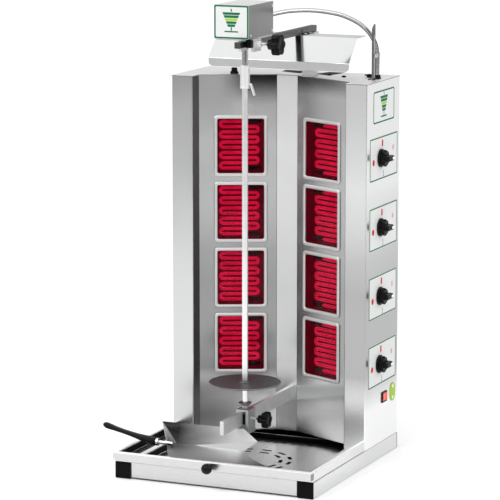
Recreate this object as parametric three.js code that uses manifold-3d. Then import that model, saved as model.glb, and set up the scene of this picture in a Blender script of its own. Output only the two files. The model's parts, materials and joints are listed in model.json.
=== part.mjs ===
// Electric vertical rotisserie: a motor on a sliding clamp turns an upright spit in front of
// two angled banks of radiant heaters. Millimetres, +X right, +Y back, +Z up.
// The origin is the middle of the base underside.
import * as THREE from 'three';
import { mergeVertices } from 'three/addons/utils/BufferGeometryUtils.js';
import Module from 'manifold-3d';

const wasm = await Module();
wasm.setup();

// ---- driving dimensions -------------------------------------------------------------------
const GAP = 0.3;                 // air left between pieces that touch
const BASE_WIDTH = 510;
const BASE_LENGTH = 530;
const RAIL = 40;                 // square base tube
const RAIL_WALL = 2;
const SHEET = 1.5;               // stainless sheet of the cabinet
const BODY_FRONT = 47;           // Y of the column fronts
const BODY_TOP = 930;
const COLUMN_INNER = 200;        // X where each front column turns inwards
const RECESS_Y = 85;             // Y of the outer edge of a heater panel
const STRIP_Y = 165;             // Y of the centre strip
const STRIP_HALF = 27.5;
const PANEL_BOTTOM = 41.5;
const WINDOW_WIDTH = 114;
const WINDOW_HEIGHT = 136;
const WINDOW_PITCH = 163.8;
const WINDOW_SHIFT = 7;          // windows sit nearer the centre strip
const WINDOW_RADIUS = 4;
const BEZEL_WIDTH = 132;
const BEZEL_HEIGHT = 152;
const BEZEL_DEPTH = 4;
const BEZEL_RADIUS = 10;
const WINDOWS_PER_SIDE = 4;
const TUBE_RADIUS = 3.4;         // heating tube
const TUBE_RUNS = 10;
const SPIT_X = 2;
const SPIT_Y = -95;
const SPIT_RADIUS = 7;
const SPIT_FOOT = 161;
const SPIT_TOP = 952;
const PLATE_Z = 216;
const PLATE_RADIUS = 87;
const SHAFT_RADIUS = 7.5;
const SLEEVE_BOTTOM = 925;
const SLEEVE_TOP = 980;
const LOWER_BAR = { x: 2, half: 5, z: 117, top: 150.5, front: -232 };
const UPPER_BAR = { x: 30, half: 7.5, z: 1029.5, top: 1044.5, front: -203, back: 262 };
const MOTOR = { x: 2, half: 43.5, front: -172, back: -28, z: 1048.7, top: 1127 };
const UPPER_CLAMP = { front: -163, back: -120, z: 1019, knobY: -141, knobZ: 1036 };
const LOWER_CLAMP = { front: -122, back: -79, z: 97, knobY: -101, knobZ: 132 };
const PAN = { front: -293, back: 46, rim: 64.5, ledge: 45, floor: 26, wellHalf: 211, wellBack: 128 };
const LIP = { foot: 46.5, depth: 12, side: 8 };
const APRON = { front: -277, back: -250, foot: 4 };
const HOOD = { half: 184, lipY: 107, lipZ: 950, bendZ: 970, ridgeY: 158, ridgeZ: 1028, back: 220 };
const KNOB_Y = 136;
const KNOB_Z = [744, 575.5, 407, 238.5];
const SWITCH = { y: 174.5, z: 149, openingY: 29, openingZ: 23 };
const SCOOP_Z = PAN.rim + GAP;
const FLOOR_PLATE = 2;           // plate between the base tubes, turned up at the back
const SCOOP = { fold: -155, lean: 0.244, sheet: 1.2, height: 50 };
const TUBE_DEPTH = 22;           // heating tube axis behind the panel face
const TUBE_SPAN = 92.5;          // width taken by the folded tube
const TUBE_SHIFT = 3.3;          // the tube sits towards the outer side of its window
const GLASS = { thickness: 1.9, margin: 5 };
const REFLECTOR = { front: 6, depth: 22, margin: 4, sheet: 1.2 };
const POST = { half: 15, front: 224, back: 258 };
const BRACKET = {
  left: 46, right: 81, front: 143, webFront: 147.5, webBack: 150, back: 170, foot: 2.2, top: 1014,
};
const STAKE = { left: 230, right: 233, front: 139, back: 157, top: 1066, slope: 12 };
const CONDUIT_RADIUS = 5.5;
const SELECTOR = { radius: 22.5, skirt: 5, body: 18, bodyTop: 16, gripLength: 42, grip: 14, height: 29 };
const ROCKER = { half: 9.5, width: 24, inside: 250, face: 258.5, dip: 1.7 };
const GLAND = { x: -195, z: 90, bore: 4, nut: 13, body: 7.5, length: 22 };

// ---- materials ----------------------------------------------------------------------------
const material = (color, roughness, metalness) => () =>
  new THREE.MeshStandardMaterial({ color, roughness, metalness });
const stainless = material(0xc9cbcc, 0.35, 0.9);
const polished = material(0xd8dadb, 0.18, 1.0);
const blackPlastic = material(0x141414, 0.45, 0.0);
const glowing = material(0xb01432, 0.5, 0.1);
const darkSteel = material(0x2a2426, 0.6, 0.6);
const blackGlass = material(0x40060f, 0.1, 0.0);
const motorPaint = material(0x7d8084, 0.5, 0.4);
const orangePlastic = material(0xe8541c, 0.3, 0.0);

const appliance = new THREE.Group();

function add(name, geometry, makeMaterial, parent = appliance) {
  const mesh = new THREE.Mesh(geometry, makeMaterial());
  mesh.name = name;
  parent.add(mesh);
  return mesh;
}

// ---- geometry helpers ---------------------------------------------------------------------
function block(x0, x1, y0, y1, z0, z1) {
  const geometry = new THREE.BoxGeometry(x1 - x0, y1 - y0, z1 - z0);
  return geometry.translate((x0 + x1) / 2, (y0 + y1) / 2, (z0 + z1) / 2);
}

function outline(points) {
  return new THREE.Shape(points.map(([x, y]) => new THREE.Vector2(x, y)));
}

// A plan outline raised from z0 to z1.
function raised(shape, z0, z1, curveSegments = 6) {
  const geometry = new THREE.ExtrudeGeometry(shape, { depth: z1 - z0, bevelEnabled: false, curveSegments });
  return geometry.translate(0, 0, z0);
}

// An outline drawn in (Y, Z) and extruded along X from x0 to x1.
function alongX(shape, x0, x1, curveSegments = 6) {
  const geometry = raised(shape, x0, x1, curveSegments);
  const basis = new THREE.Matrix4().makeBasis(
    new THREE.Vector3(0, 1, 0), new THREE.Vector3(0, 0, 1), new THREE.Vector3(1, 0, 0));
  return geometry.applyMatrix4(basis);
}

// A turned piece: profile points are (radius, z), about a vertical axis at (x, y).
function turned(profile, x, y, segments = 24) {
  const points = profile.map(([r, z]) => new THREE.Vector2(r, z));
  const geometry = new THREE.LatheGeometry(points, segments);
  return geometry.rotateX(Math.PI / 2).translate(x, y, 0);
}

// The same, about an axis along X at (y, z); profile points are (radius, x).
function turnedX(profile, y, z, segments = 20) {
  const geometry = turned(profile, 0, 0, segments);
  return geometry.rotateY(Math.PI / 2).translate(0, y, z);
}

function rod(radius, z0, z1, x, y, segments = 24) {
  return turned([[0, z0], [radius, z0], [radius, z1], [0, z1]], x, y, segments);
}

function rodX(radius, x0, x1, y, z, segments = 20) {
  return turnedX([[0, x0], [radius, x0], [radius, x1], [0, x1]], y, z, segments);
}

function toSolid(geometry) {
  const bare = geometry.clone();
  bare.deleteAttribute('normal');
  bare.deleteAttribute('uv');
  const merged = mergeVertices(bare, 1e-4);
  const vertProperties = new Float32Array(merged.attributes.position.array);
  const triVerts = new Uint32Array(merged.index.array);
  return new wasm.Manifold(new wasm.Mesh({ numProp: 3, vertProperties, triVerts }));
}

function toGeometry(solid) {
  const mesh = solid.getMesh();
  const geometry = new THREE.BufferGeometry();
  geometry.setAttribute('position', new THREE.BufferAttribute(mesh.vertProperties, 3));
  geometry.setIndex(new THREE.BufferAttribute(mesh.triVerts, 1));
  geometry.computeVertexNormals();
  return geometry;
}

function join(...geometries) {
  return toGeometry(geometries.map(toSolid).reduce((a, b) => a.add(b)));
}

function cut(geometry, ...tools) {
  return toGeometry(tools.map(toSolid).reduce((a, b) => a.subtract(b), toSolid(geometry)));
}

function roundedRect(width, height, radius, path = new THREE.Shape()) {
  const x = width / 2;
  const y = height / 2;
  path.moveTo(-x + radius, -y);
  path.lineTo(x - radius, -y);
  path.absarc(x - radius, -y + radius, radius, -Math.PI / 2, 0, false);
  path.lineTo(x, y - radius);
  path.absarc(x - radius, y - radius, radius, 0, Math.PI / 2, false);
  path.lineTo(-x + radius, y);
  path.absarc(-x + radius, y - radius, radius, Math.PI / 2, Math.PI, false);
  path.lineTo(-x, -y + radius);
  path.absarc(-x + radius, -y + radius, radius, Math.PI, 1.5 * Math.PI, false);
  return path;
}

// A bent sheet: the centre line's points, thickened to one side.
function sheetOutline(points, thickness) {
  const offset = points.map((point, i) => {
    const before = points[Math.max(i - 1, 0)];
    const after = points[Math.min(i + 1, points.length - 1)];
    const inAngle = Math.atan2(point[1] - before[1], point[0] - before[0]);
    const outAngle = Math.atan2(after[1] - point[1], after[0] - point[0]);
    const first = i === 0 ? outAngle : inAngle;
    const last = i === points.length - 1 ? inAngle : outAngle;
    const turn = Math.atan2(Math.sin(last - first), Math.cos(last - first)) / 2;
    const reach = thickness / Math.cos(turn);
    const normal = first + turn + Math.PI / 2;
    return [point[0] + reach * Math.cos(normal), point[1] + reach * Math.sin(normal)];
  });
  return outline([...points, ...offset.reverse()]);
}

// ---- base ---------------------------------------------------------------------------------
const CAP = 3;                   // thickness of a rail end cap
const RAIL_FRONT = -279;         // Y of the caps' faces
const railOuter = BASE_WIDTH / 2;
const railInner = railOuter - RAIL;
const railEnd = BASE_LENGTH / 2;

function squareTube(side) {
  const shape = roundedRect(RAIL, RAIL, 2);
  shape.holes.push(roundedRect(RAIL - 2 * RAIL_WALL, RAIL - 2 * RAIL_WALL, 1, new THREE.Path()));
  const geometry = raised(shape, RAIL_FRONT + CAP + GAP, railEnd, 2);
  geometry.rotateX(-Math.PI / 2);
  return geometry.translate(side * (railOuter - RAIL / 2), 0, RAIL / 2);
}

function base() {
  for (const [label, side] of [['left', -1], ['right', 1]]) {
    add(`base_rail_${label}`, squareTube(side), stainless);
    const cap = raised(roundedRect(RAIL, RAIL, 2), 0, CAP, 2).rotateX(-Math.PI / 2);
    cap.translate(side * (railOuter - RAIL / 2), RAIL_FRONT, RAIL / 2);
    add(`rail_cap_${label}`, cap, blackPlastic);
  }
  const half = railInner - GAP;
  const sheet = block(-half, half, CAP - railEnd, railEnd, 0, FLOOR_PLATE);
  const upstand = block(-half, half, railEnd - FLOOR_PLATE, railEnd, 0, RAIL);
  add('bottom_plate', join(sheet, upstand), stainless);
}

// ---- cabinet ------------------------------------------------------------------------------
const cabinetBack = railEnd;
const cabinetFloor = RAIL + GAP;
const cabinetTop = BODY_TOP - 2;

function sidePanel(side) {
  const x = side * railOuter;
  const turn = side * COLUMN_INNER;
  const points = [[x, cabinetBack - SHEET - GAP], [x, BODY_FRONT], [turn, BODY_FRONT], [turn, RECESS_Y]];
  const shape = sheetOutline(points, side * -SHEET);
  return raised(shape, cabinetFloor, cabinetTop);
}

function switchOpening() {
  const { y, z, openingY, openingZ } = SWITCH;
  return block(railOuter - 4, railOuter + 4, y - openingY / 2, y + openingY / 2, z - openingZ / 2,
    z + openingZ / 2);
}

function topOutline(overhang) {
  const half = [
    [STRIP_HALF, STRIP_Y - overhang], [COLUMN_INNER - overhang, RECESS_Y - overhang],
    [COLUMN_INNER - overhang, BODY_FRONT - overhang], [railOuter + overhang, BODY_FRONT - overhang],
    [railOuter + overhang, cabinetBack],
  ];
  const mirrored = half.map(([x, y]) => [-x, y]).reverse();
  return outline([...half, ...mirrored]);
}

function cabinet() {
  add('side_panel_left', sidePanel(-1), stainless);
  add('side_panel_right', cut(sidePanel(1), switchOpening()), stainless);
  const half = railOuter - SHEET - GAP;
  const rear = block(-half, half, cabinetBack - SHEET, cabinetBack, cabinetFloor, cabinetTop);
  add('rear_panel', rear, stainless);
  add('top_cover', raised(topOutline(1), cabinetTop + GAP, BODY_TOP), stainless);
  const strip = STRIP_HALF - GAP;
  const back = STRIP_Y + SHEET;
  add('centre_strip', block(-strip, strip, STRIP_Y, back, PANEL_BOTTOM, cabinetTop), stainless);
  add('cable_inlet', cableInlet(), blackPlastic);
}

// Strain-relief gland low on the back; its bore runs right through.
function cableInlet() {
  const { x, z, bore, nut, body, length } = GLAND;
  const profile = [
    [bore, GAP], [nut, GAP], [nut, 6], [body + 1.5, 8], [body, length], [bore, length], [bore, GAP],
  ];
  const gland = turned(profile, 0, 0, 20).rotateX(-Math.PI / 2);
  return gland.translate(x, cabinetBack, z);
}

// ---- heater banks -------------------------------------------------------------------------
const panelRun = new THREE.Vector2(COLUMN_INNER - STRIP_HALF, STRIP_Y - RECESS_Y);
const panelLength = panelRun.length();
const panelAngle = Math.atan2(panelRun.y, panelRun.x);
const panelMiddle = (PANEL_BOTTOM + BODY_TOP) / 2 + 22.5;

function windowZ(index) {
  return panelMiddle + WINDOW_PITCH * ((WINDOWS_PER_SIDE - 1) / 2 - index);
}

// A flat outline in (x, z) made into a plate standing between local y0 and y1.
function standing(shape, y0, y1, curveSegments = 4) {
  return raised(shape, 0, y1 - y0, curveSegments).rotateX(Math.PI / 2).translate(0, y1, 0);
}

function heaterPanel(shift) {
  const half = panelLength / 2 - GAP;
  const shape = outline([
    [-half, PANEL_BOTTOM], [half, PANEL_BOTTOM], [half, cabinetTop], [-half, cabinetTop],
  ]);
  for (let i = 0; i < WINDOWS_PER_SIDE; i += 1) {
    const hole = roundedRect(WINDOW_WIDTH, WINDOW_HEIGHT, WINDOW_RADIUS, new THREE.Path());
    const points = hole.getPoints(3).map((p) => new THREE.Vector2(p.x + shift, p.y + windowZ(i)));
    shape.holes.push(new THREE.Path(points));
  }
  return standing(shape, GAP, SHEET);
}

function bezel() {
  const shape = roundedRect(BEZEL_WIDTH, BEZEL_HEIGHT, BEZEL_RADIUS);
  shape.holes.push(roundedRect(WINDOW_WIDTH, WINDOW_HEIGHT, WINDOW_RADIUS, new THREE.Path()));
  return standing(shape, -BEZEL_DEPTH, 0, 3);
}

// The heating tube: straight runs across the window joined by half-circle bends.
class Serpentine extends THREE.Curve {
  constructor(width, pitch, runs, side) {
    super();
    this.legs = [];
    const bend = pitch / 2;
    const reach = width / 2 - bend;
    const top = (pitch * (runs - 1)) / 2;
    for (let i = 0; i < runs; i += 1) {
      const from = (i % 2 ? 1 : -1) * reach * side;
      const z = top - i * pitch;
      this.legs.push({ run: true, from, to: -from, z });
      const bends = i < runs - 1 ? 4 : 0;
      for (let k = 0; k < bends; k += 1) this.legs.push({ run: false, x: -from, z: z - bend, bend, k });
    }
  }

  getPoint(t, target = new THREE.Vector3()) {
    const scaled = Math.min(t, 1) * this.legs.length;
    const index = Math.min(Math.floor(scaled), this.legs.length - 1);
    const leg = this.legs[index];
    const part = scaled - index;
    if (leg.run) return target.set(leg.from + (leg.to - leg.from) * part, 0, leg.z);
    const angle = Math.PI / 2 - ((leg.k + part) / 4) * Math.PI;
    const outward = Math.sign(leg.x);
    return target.set(leg.x + outward * leg.bend * Math.cos(angle), 0, leg.z + leg.bend * Math.sin(angle));
  }

  getUtoTmapping(u) {
    return u;
  }
}

function heatingTube(side) {
  const pitch = WINDOW_HEIGHT / (TUBE_RUNS + 0.6);
  const path = new Serpentine(TUBE_SPAN, pitch, TUBE_RUNS, side);
  const section = new THREE.Shape();
  section.absarc(0, 0, TUBE_RADIUS, 0, 2 * Math.PI, false);
  return new THREE.ExtrudeGeometry(section, {
    steps: path.legs.length, bevelEnabled: false, extrudePath: path, curveSegments: 3,
  });
}

function reflector(shift) {
  const { front, depth, margin, sheet } = REFLECTOR;
  const half = WINDOW_WIDTH / 2 + margin;
  const points = [[-half, 0], [-half, depth], [half, depth], [half, 0]];
  const shape = sheetOutline(points.map(([x, y]) => [x + shift, y]), -sheet);
  const low = windowZ(WINDOWS_PER_SIDE - 1) - WINDOW_HEIGHT / 2 - margin - 2;
  const high = windowZ(0) + WINDOW_HEIGHT / 2 + margin + 2;
  return raised(shape, low, high).translate(0, front, 0);
}

function heaterBank(label, side) {
  const bank = new THREE.Group();
  bank.position.set(side * (STRIP_HALF + COLUMN_INNER) / 2, (STRIP_Y + RECESS_Y) / 2, 0);
  bank.rotation.z = -side * panelAngle;
  appliance.add(bank);
  const shift = -side * WINDOW_SHIFT;
  add(`heater_panel_${label}`, heaterPanel(shift), stainless, bank);
  const half = WINDOW_WIDTH / 2 + GLASS.margin;
  const low = windowZ(WINDOWS_PER_SIDE - 1) - WINDOW_HEIGHT / 2 - GLASS.margin - 3;
  const high = windowZ(0) + WINDOW_HEIGHT / 2 + GLASS.margin + 3;
  const face = SHEET + 6 * GAP;
  const pane = block(shift - half, shift + half, face, face + GLASS.thickness, low, high);
  add(`glass_${label}`, pane, blackGlass, bank);
  add(`reflector_${label}`, reflector(shift), polished, bank);
  for (let i = 0; i < WINDOWS_PER_SIDE; i += 1) {
    const frame = add(`bezel_${label}_${i + 1}`, bezel(), polished, bank);
    frame.position.set(shift, 0, windowZ(i));
    const tube = add(`heating_tube_${label}_${i + 1}`, heatingTube(side), glowing, bank);
    tube.position.set(shift + side * TUBE_SHIFT, TUBE_DEPTH, windowZ(i));
  }
}

// ---- overhead: bar, hood, cable conduit ---------------------------------------------------
function overhead() {
  const { x, half, z, top, front, back } = UPPER_BAR;
  add('upper_bar', block(x - half, x + half, front, back, z, top), stainless);
  const post = block(x - POST.half, x + POST.half, POST.front, POST.back, BODY_TOP + GAP, z - GAP);
  add('upper_bar_post', post, stainless);
  const ridge = HOOD.ridgeZ - GAP;
  const profile = [
    [HOOD.lipY, HOOD.lipZ], [HOOD.lipY, HOOD.bendZ], [HOOD.ridgeY, ridge], [HOOD.back, ridge],
  ];
  add('heat_hood', alongX(sheetOutline(profile, -SHEET), -HOOD.half, HOOD.half), stainless);
  const onTop = BODY_TOP + GAP;
  const foot = onTop + BRACKET.foot;
  const slope = BRACKET.webBack - BRACKET.webFront;
  const bracket = outline([
    [BRACKET.front, onTop], [BRACKET.back, onTop], [BRACKET.back, foot], [BRACKET.webBack, foot],
    [BRACKET.webBack, BRACKET.top], [BRACKET.webFront, BRACKET.top - slope], [BRACKET.webFront, foot],
    [BRACKET.front, foot],
  ]);
  add('hood_bracket', alongX(bracket, BRACKET.left, BRACKET.right), stainless);
  const stake = outline([
    [STAKE.front, onTop], [STAKE.back, onTop], [STAKE.back, STAKE.top],
    [STAKE.front, STAKE.top - STAKE.slope],
  ]);
  add('conduit_stake', alongX(stake, STAKE.left, STAKE.right), stainless);
  add('conduit', conduit(), polished);
}

const CONDUIT_ROUTE = [
  [22, -27.5, 1089], [38, -12, 1094], [68, 17, 1100], [104, 52, 1100], [134, 82, 1095], [165, 112, 1085],
  [195, 142, 1065], [214, 160, 1042], [226, 172, 1015], [230, 176, 987], [230, 176, 959], [230, 176, 930.6],
];

function conduit() {
  const path = new THREE.CatmullRomCurve3(CONDUIT_ROUTE.map((p) => new THREE.Vector3(...p)));
  const section = new THREE.Shape();
  section.absarc(0, 0, CONDUIT_RADIUS, 0, 2 * Math.PI, false);
  const tube = new THREE.ExtrudeGeometry(section, {
    steps: 28, bevelEnabled: false, extrudePath: path, curveSegments: 4,
  });
  const keep = block(-300, 300, MOTOR.back + GAP, 300, BODY_TOP + GAP, 1200);
  return toGeometry(toSolid(tube).intersect(toSolid(keep)));
}

// ---- motor carriage -----------------------------------------------------------------------
function starKnob(screwX, hubX, lobeX, endX, radius, hubRadius, screwRadius, y, z) {
  const lobes = 6;
  const points = [];
  for (let i = 0; i < lobes * 6; i += 1) {
    const angle = (i / (lobes * 6)) * 2 * Math.PI;
    const r = radius * (0.92 + 0.08 * Math.cos(lobes * angle));
    points.push([r * Math.cos(angle), r * Math.sin(angle)]);
  }
  const head = alongX(outline(points), lobeX, endX).translate(0, y, z);
  const stem = turnedX([
    [0, screwX], [screwRadius, screwX], [screwRadius, hubX], [hubRadius, hubX], [hubRadius, lobeX + 1],
    [0, lobeX + 1],
  ], y, z, 20);
  return join(head, stem);
}

function motorCarriage() {
  const { x, half, front, back, z, top } = MOTOR;
  const shell = block(x - half, x + half, front, back, z, top);
  const hollow = block(x - half + 1.2, x + half - 1.2, front + 1.2, back - 1.2, z - 5, top - 1.2);
  add('motor_cover', cut(shell, hollow), stainless);
  add('gearmotor', gearmotor(), motorPaint);
  add('upper_clamp', upperClamp(), stainless);
  const shaft = rod(SHAFT_RADIUS, SPIT_TOP + 1, z + 6, SPIT_X, SPIT_Y);
  add('drive_shaft', shaft, stainless);
  const knob = starKnob(UPPER_BAR.x + UPPER_BAR.half + GAP, 83, 95, 115, 26, 12, 4, UPPER_CLAMP.knobY,
    UPPER_CLAMP.knobZ);
  add('upper_clamp_knob', knob, blackPlastic);
}

function gearmotor() {
  const gearbox = block(SPIT_X - 32, SPIT_X + 32, SPIT_Y - 35, SPIT_Y + 30, MOTOR.z + 6.5, MOTOR.z + 30);
  const can = rod(27, MOTOR.z + 29, MOTOR.z + 70, SPIT_X, SPIT_Y, 24);
  return join(gearbox, can);
}

function upperClamp() {
  const barLeft = UPPER_BAR.x - UPPER_BAR.half - GAP;
  const barRight = UPPER_BAR.x + UPPER_BAR.half;
  const { front, back, z, knobY, knobZ } = UPPER_CLAMP;
  const under = MOTOR.z - GAP;
  const plateHalf = MOTOR.half - 2.5;
  const plate = block(MOTOR.x - plateHalf, MOTOR.x + plateHalf, MOTOR.front + 3, MOTOR.back - 3,
    UPPER_BAR.top + GAP, under);
  const leftCheek = block(barLeft - 7, barLeft, front, back, z, under);
  const rightCheek = block(barRight + 10, barRight + 16.5, front, back, z, under);
  const web = block(barLeft - 7, barRight + 16.5, front, back, UPPER_BAR.top + GAP, under);
  const nut = rodX(8, barRight + 16, barRight + 27, knobY, knobZ, 6);
  const shaftHole = rod(SHAFT_RADIUS + 1.5, UPPER_BAR.z, MOTOR.z + 5, SPIT_X, SPIT_Y);
  const screwHole = rodX(4.4, barRight - 1, barRight + 40, knobY, knobZ);
  return cut(join(plate, web, leftCheek, rightCheek, nut), shaftHole, screwHole);
}

// ---- spit and lower carriage --------------------------------------------------------------
function lowerBarAndClamp() {
  const { x, half, z, top, front } = LOWER_BAR;
  add('lower_bar', block(x - half, x + half, front, STRIP_Y - GAP, z, top), stainless);
  const left = x - half - GAP;
  const right = x + half + 8;
  const clamp = LOWER_CLAMP;
  const roof = top + GAP;
  const web = block(left - 6, right + 7, clamp.front, clamp.back, roof, roof + 5);
  const leftCheek = block(left - 6, left, clamp.front, clamp.back, clamp.z, roof + 5);
  const rightCheek = block(right, right + 7, clamp.front, clamp.back, clamp.z, roof + 5);
  const nut = rodX(6.5, right + 6.5, right + 14, clamp.knobY, clamp.knobZ, 6);
  const cup = turned([
    [0, roof + 4], [7, roof + 4], [7, 161], [12, 162.5], [16.5, 168], [14.5, 168], [9, 165], [0, 165],
  ], SPIT_X, SPIT_Y);
  const bore = rod(5.4, 160.5, 175, SPIT_X, SPIT_Y);
  const screwHole = rodX(3.4, x + half + 2, right + 30, clamp.knobY, clamp.knobZ);
  const body = cut(join(web, leftCheek, rightCheek, nut, cup), bore, screwHole);
  add('lower_clamp', body, stainless);
  const knob = starKnob(x + half + GAP, 40, 52, 68, 20.5, 9.5, 3, clamp.knobY, clamp.knobZ);
  add('lower_clamp_knob', knob, blackPlastic);
}

function spit() {
  const shoulder = PLATE_Z + 6;
  const rodProfile = [
    [0, SPIT_FOOT], [5, SPIT_FOOT], [5, 168.5], [6, 169.5], [6, shoulder], [SPIT_RADIUS, shoulder],
    [SPIT_RADIUS, SPIT_TOP], [0, SPIT_TOP],
  ];
  add('spit_rod', turned(rodProfile, SPIT_X, SPIT_Y), polished);
  const plate = [
    [6.3, PLATE_Z], [PLATE_RADIUS, PLATE_Z], [PLATE_RADIUS, PLATE_Z + 2.5], [15, PLATE_Z + 2.5],
    [14, shoulder - GAP], [6.3, shoulder - GAP], [6.3, PLATE_Z],
  ];
  add('meat_plate', turned(plate, SPIT_X, SPIT_Y, 48), polished);
  const bore = SHAFT_RADIUS + GAP;
  const sleeve = turned([
    [bore, SLEEVE_BOTTOM], [12, SLEEVE_BOTTOM], [12, SLEEVE_TOP], [bore, SLEEVE_TOP], [bore, SLEEVE_BOTTOM],
  ], 0, 0);
  const lever = outline([[-2.5, 0], [2.5, 0], [2.5, 30], [-2.5, 30]]);
  const leverPlate = alongX(lever, 0, 3).rotateY(-0.35).translate(19.5, 0, SLEEVE_BOTTOM - 17);
  add('coupling_sleeve', join(sleeve, leverPlate), polished).position.set(SPIT_X, SPIT_Y, 0);
}

// ---- controls -----------------------------------------------------------------------------
function selectorKnob() {
  const { radius, skirt, body, bodyTop, gripLength, grip, height } = SELECTOR;
  const round = turnedX([
    [0, 0], [radius, 0], [radius, skirt], [body + 1, skirt + 3], [body, bodyTop], [0, bodyTop],
  ], 0, 0, 24);
  const bar = block(skirt + 3, height, -gripLength / 2, gripLength / 2, -grip / 2, grip / 2);
  return join(round, bar);
}

function controls() {
  KNOB_Z.forEach((z, i) => {
    add(`selector_knob_${i + 1}`, selectorKnob(), blackPlastic).position.set(railOuter + 1.5, KNOB_Y, z);
  });
  const { half, width, inside, face, dip } = ROCKER;
  const rocker = outline([[-half, inside], [half, inside], [half, face], [0, face - dip], [-half, face]]);
  const key = raised(rocker, -width / 2, width / 2);
  const basis = new THREE.Matrix4().makeBasis(
    new THREE.Vector3(0, 0, 1), new THREE.Vector3(1, 0, 0), new THREE.Vector3(0, 1, 0));
  add('rocker_switch', key.applyMatrix4(basis), orangePlastic).position.set(0, SWITCH.y, SWITCH.z);
}

// ---- drip pan and scoop -------------------------------------------------------------------
function dripPan() {
  const half = railOuter;
  const { front, back, rim, ledge, floor, wellHalf, wellBack } = PAN;
  const skirt = RAIL + 1.2;
  const outer = block(-half, half, front, back, skirt, rim);
  const well = block(-wellHalf, wellHalf, CAP - railEnd + 15, wellBack, floor - SHEET, RAIL - 2);
  const neck = block(-wellHalf, wellHalf, CAP - railEnd + 15, back, RAIL - 3, skirt + 1);
  const pocket = block(-half + LIP.side, half - LIP.side, front + 16, back + 10, ledge, rim + 5);
  const inner = wellHalf - SHEET;
  const deep = block(-inner, inner, CAP - railEnd + 17, back, floor, rim);
  const deepBack = block(-inner, inner, 0, wellBack - SHEET, floor, rim);
  const lipRelief = block(-half - 1, half + 1, front - 1, front + LIP.depth, skirt - 1, LIP.foot);
  const tray = cut(join(outer, neck, well), pocket, deep, deepBack, lipRelief);
  add('drip_pan', tray, stainless);
  const stemY = -front;
  const ball = [[0, stemY + GAP], [4, stemY + GAP], [4, stemY + 9]];
  for (let i = 1; i <= 7; i += 1) {
    const angle = Math.PI * (0.1 + 0.9 * (i / 7));
    ball.push([13 * Math.sin(angle), stemY + 21 - 13 * Math.cos(angle)]);
  }
  ball[ball.length - 1][0] = 0;
  const knob = turned(ball, 0, 0, 20).rotateX(Math.PI / 2);
  add('pan_knob', knob.translate(0, 0, 55), blackPlastic);
}

// The drawer front below the pan's lip, folded back along its top.
function frontApron() {
  const half = railInner - 2;
  const { front, back, foot } = APRON;
  const apron = outline([
    [front, foot], [front + SHEET, foot], [front + SHEET, RAIL - SHEET], [back, RAIL - SHEET], [back, RAIL],
    [front, RAIL],
  ]);
  add('front_apron', alongX(apron, -half, half), stainless);
}

// A thin three-cornered sheet, thickened away from the side its corners run round.
function gusset(a, b, c, thickness) {
  const [p, q, r] = [a, b, c].map((point) => new THREE.Vector3(...point));
  const normal = new THREE.Vector3().crossVectors(q.clone().sub(p), r.clone().sub(p));
  normal.setLength(-thickness);
  const corners = [p, q, r, ...[p, q, r].map((point) => point.clone().add(normal))];
  const geometry = new THREE.BufferGeometry().setFromPoints(corners);
  geometry.setIndex([0, 1, 2, 3, 5, 4, 0, 3, 4, 0, 4, 1, 1, 4, 5, 1, 5, 2, 2, 5, 3, 2, 3, 0]);
  return geometry;
}

// The scoop: a flat blade with a hollow-ground end, a leaning back wall and a gusset at its left.
function scoop() {
  const { fold, lean, sheet, height } = SCOOP;
  const blade = new THREE.Shape();
  blade.moveTo(-153, fold + sheet);
  blade.lineTo(-167, -178);
  blade.lineTo(-131, -250);
  blade.lineTo(-108, -281);
  blade.lineTo(141, -277);
  blade.quadraticCurveTo(62, -222, 27, fold + sheet);
  blade.lineTo(-153, fold + sheet);
  const plate = raised(blade, SCOOP_Z, SCOOP_Z + sheet, 8);
  const wall = outline([[-196, height], [20, height + 1.7], [58, height / 2], [27, GAP], [-153, GAP]]);
  const back = standing(wall, 0, sheet).rotateX(-lean).translate(0, fold, SCOOP_Z);
  const cornerY = fold + height * Math.sin(lean);
  const cornerZ = SCOOP_Z + height * Math.cos(lean);
  const end = gusset([-152, fold + sheet, SCOOP_Z + GAP], [-166, -178, SCOOP_Z + GAP],
    [-195.5, cornerY + GAP, cornerZ - GAP], sheet);
  const tang = block(-190, -146, -199, -187, SCOOP_Z + 6, SCOOP_Z + 10);
  const foot = block(-156, -146, -199, -187, SCOOP_Z + GAP, SCOOP_Z + 10);
  add('scoop', join(plate, back, end, tang, foot), stainless);
  const grip = new THREE.Shape();
  grip.moveTo(-188, -4);
  grip.lineTo(-188, 16);
  grip.quadraticCurveTo(-255, 24, -318, 37);
  grip.lineTo(-326, 36);
  grip.lineTo(-322, 24);
  grip.quadraticCurveTo(-262, 8, -236, 2);
  grip.lineTo(-188, -4);
  const body = standing(grip, -205, -181, 6).translate(0, 0, SCOOP_Z + 4.5);
  const socket = block(-190.5, -180, -199.5, -186.5, SCOOP_Z + 5.5, SCOOP_Z + 10.5);
  add('scoop_handle', cut(body, socket), blackPlastic);
}

base();
cabinet();
heaterBank('left', -1);
heaterBank('right', 1);
overhead();
motorCarriage();
lowerBarAndClamp();
spit();
controls();
dripPan();
frontApron();
scoop();

export default appliance;
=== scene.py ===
"""Looks of an electric vertical rotisserie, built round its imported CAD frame.

Lengths inside the helpers are millimetres; every mesh is written in metres, +X right, +Y back, +Z up.
"""
import json
import math

import bmesh
import bpy
from mathutils import Matrix, Vector


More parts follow.
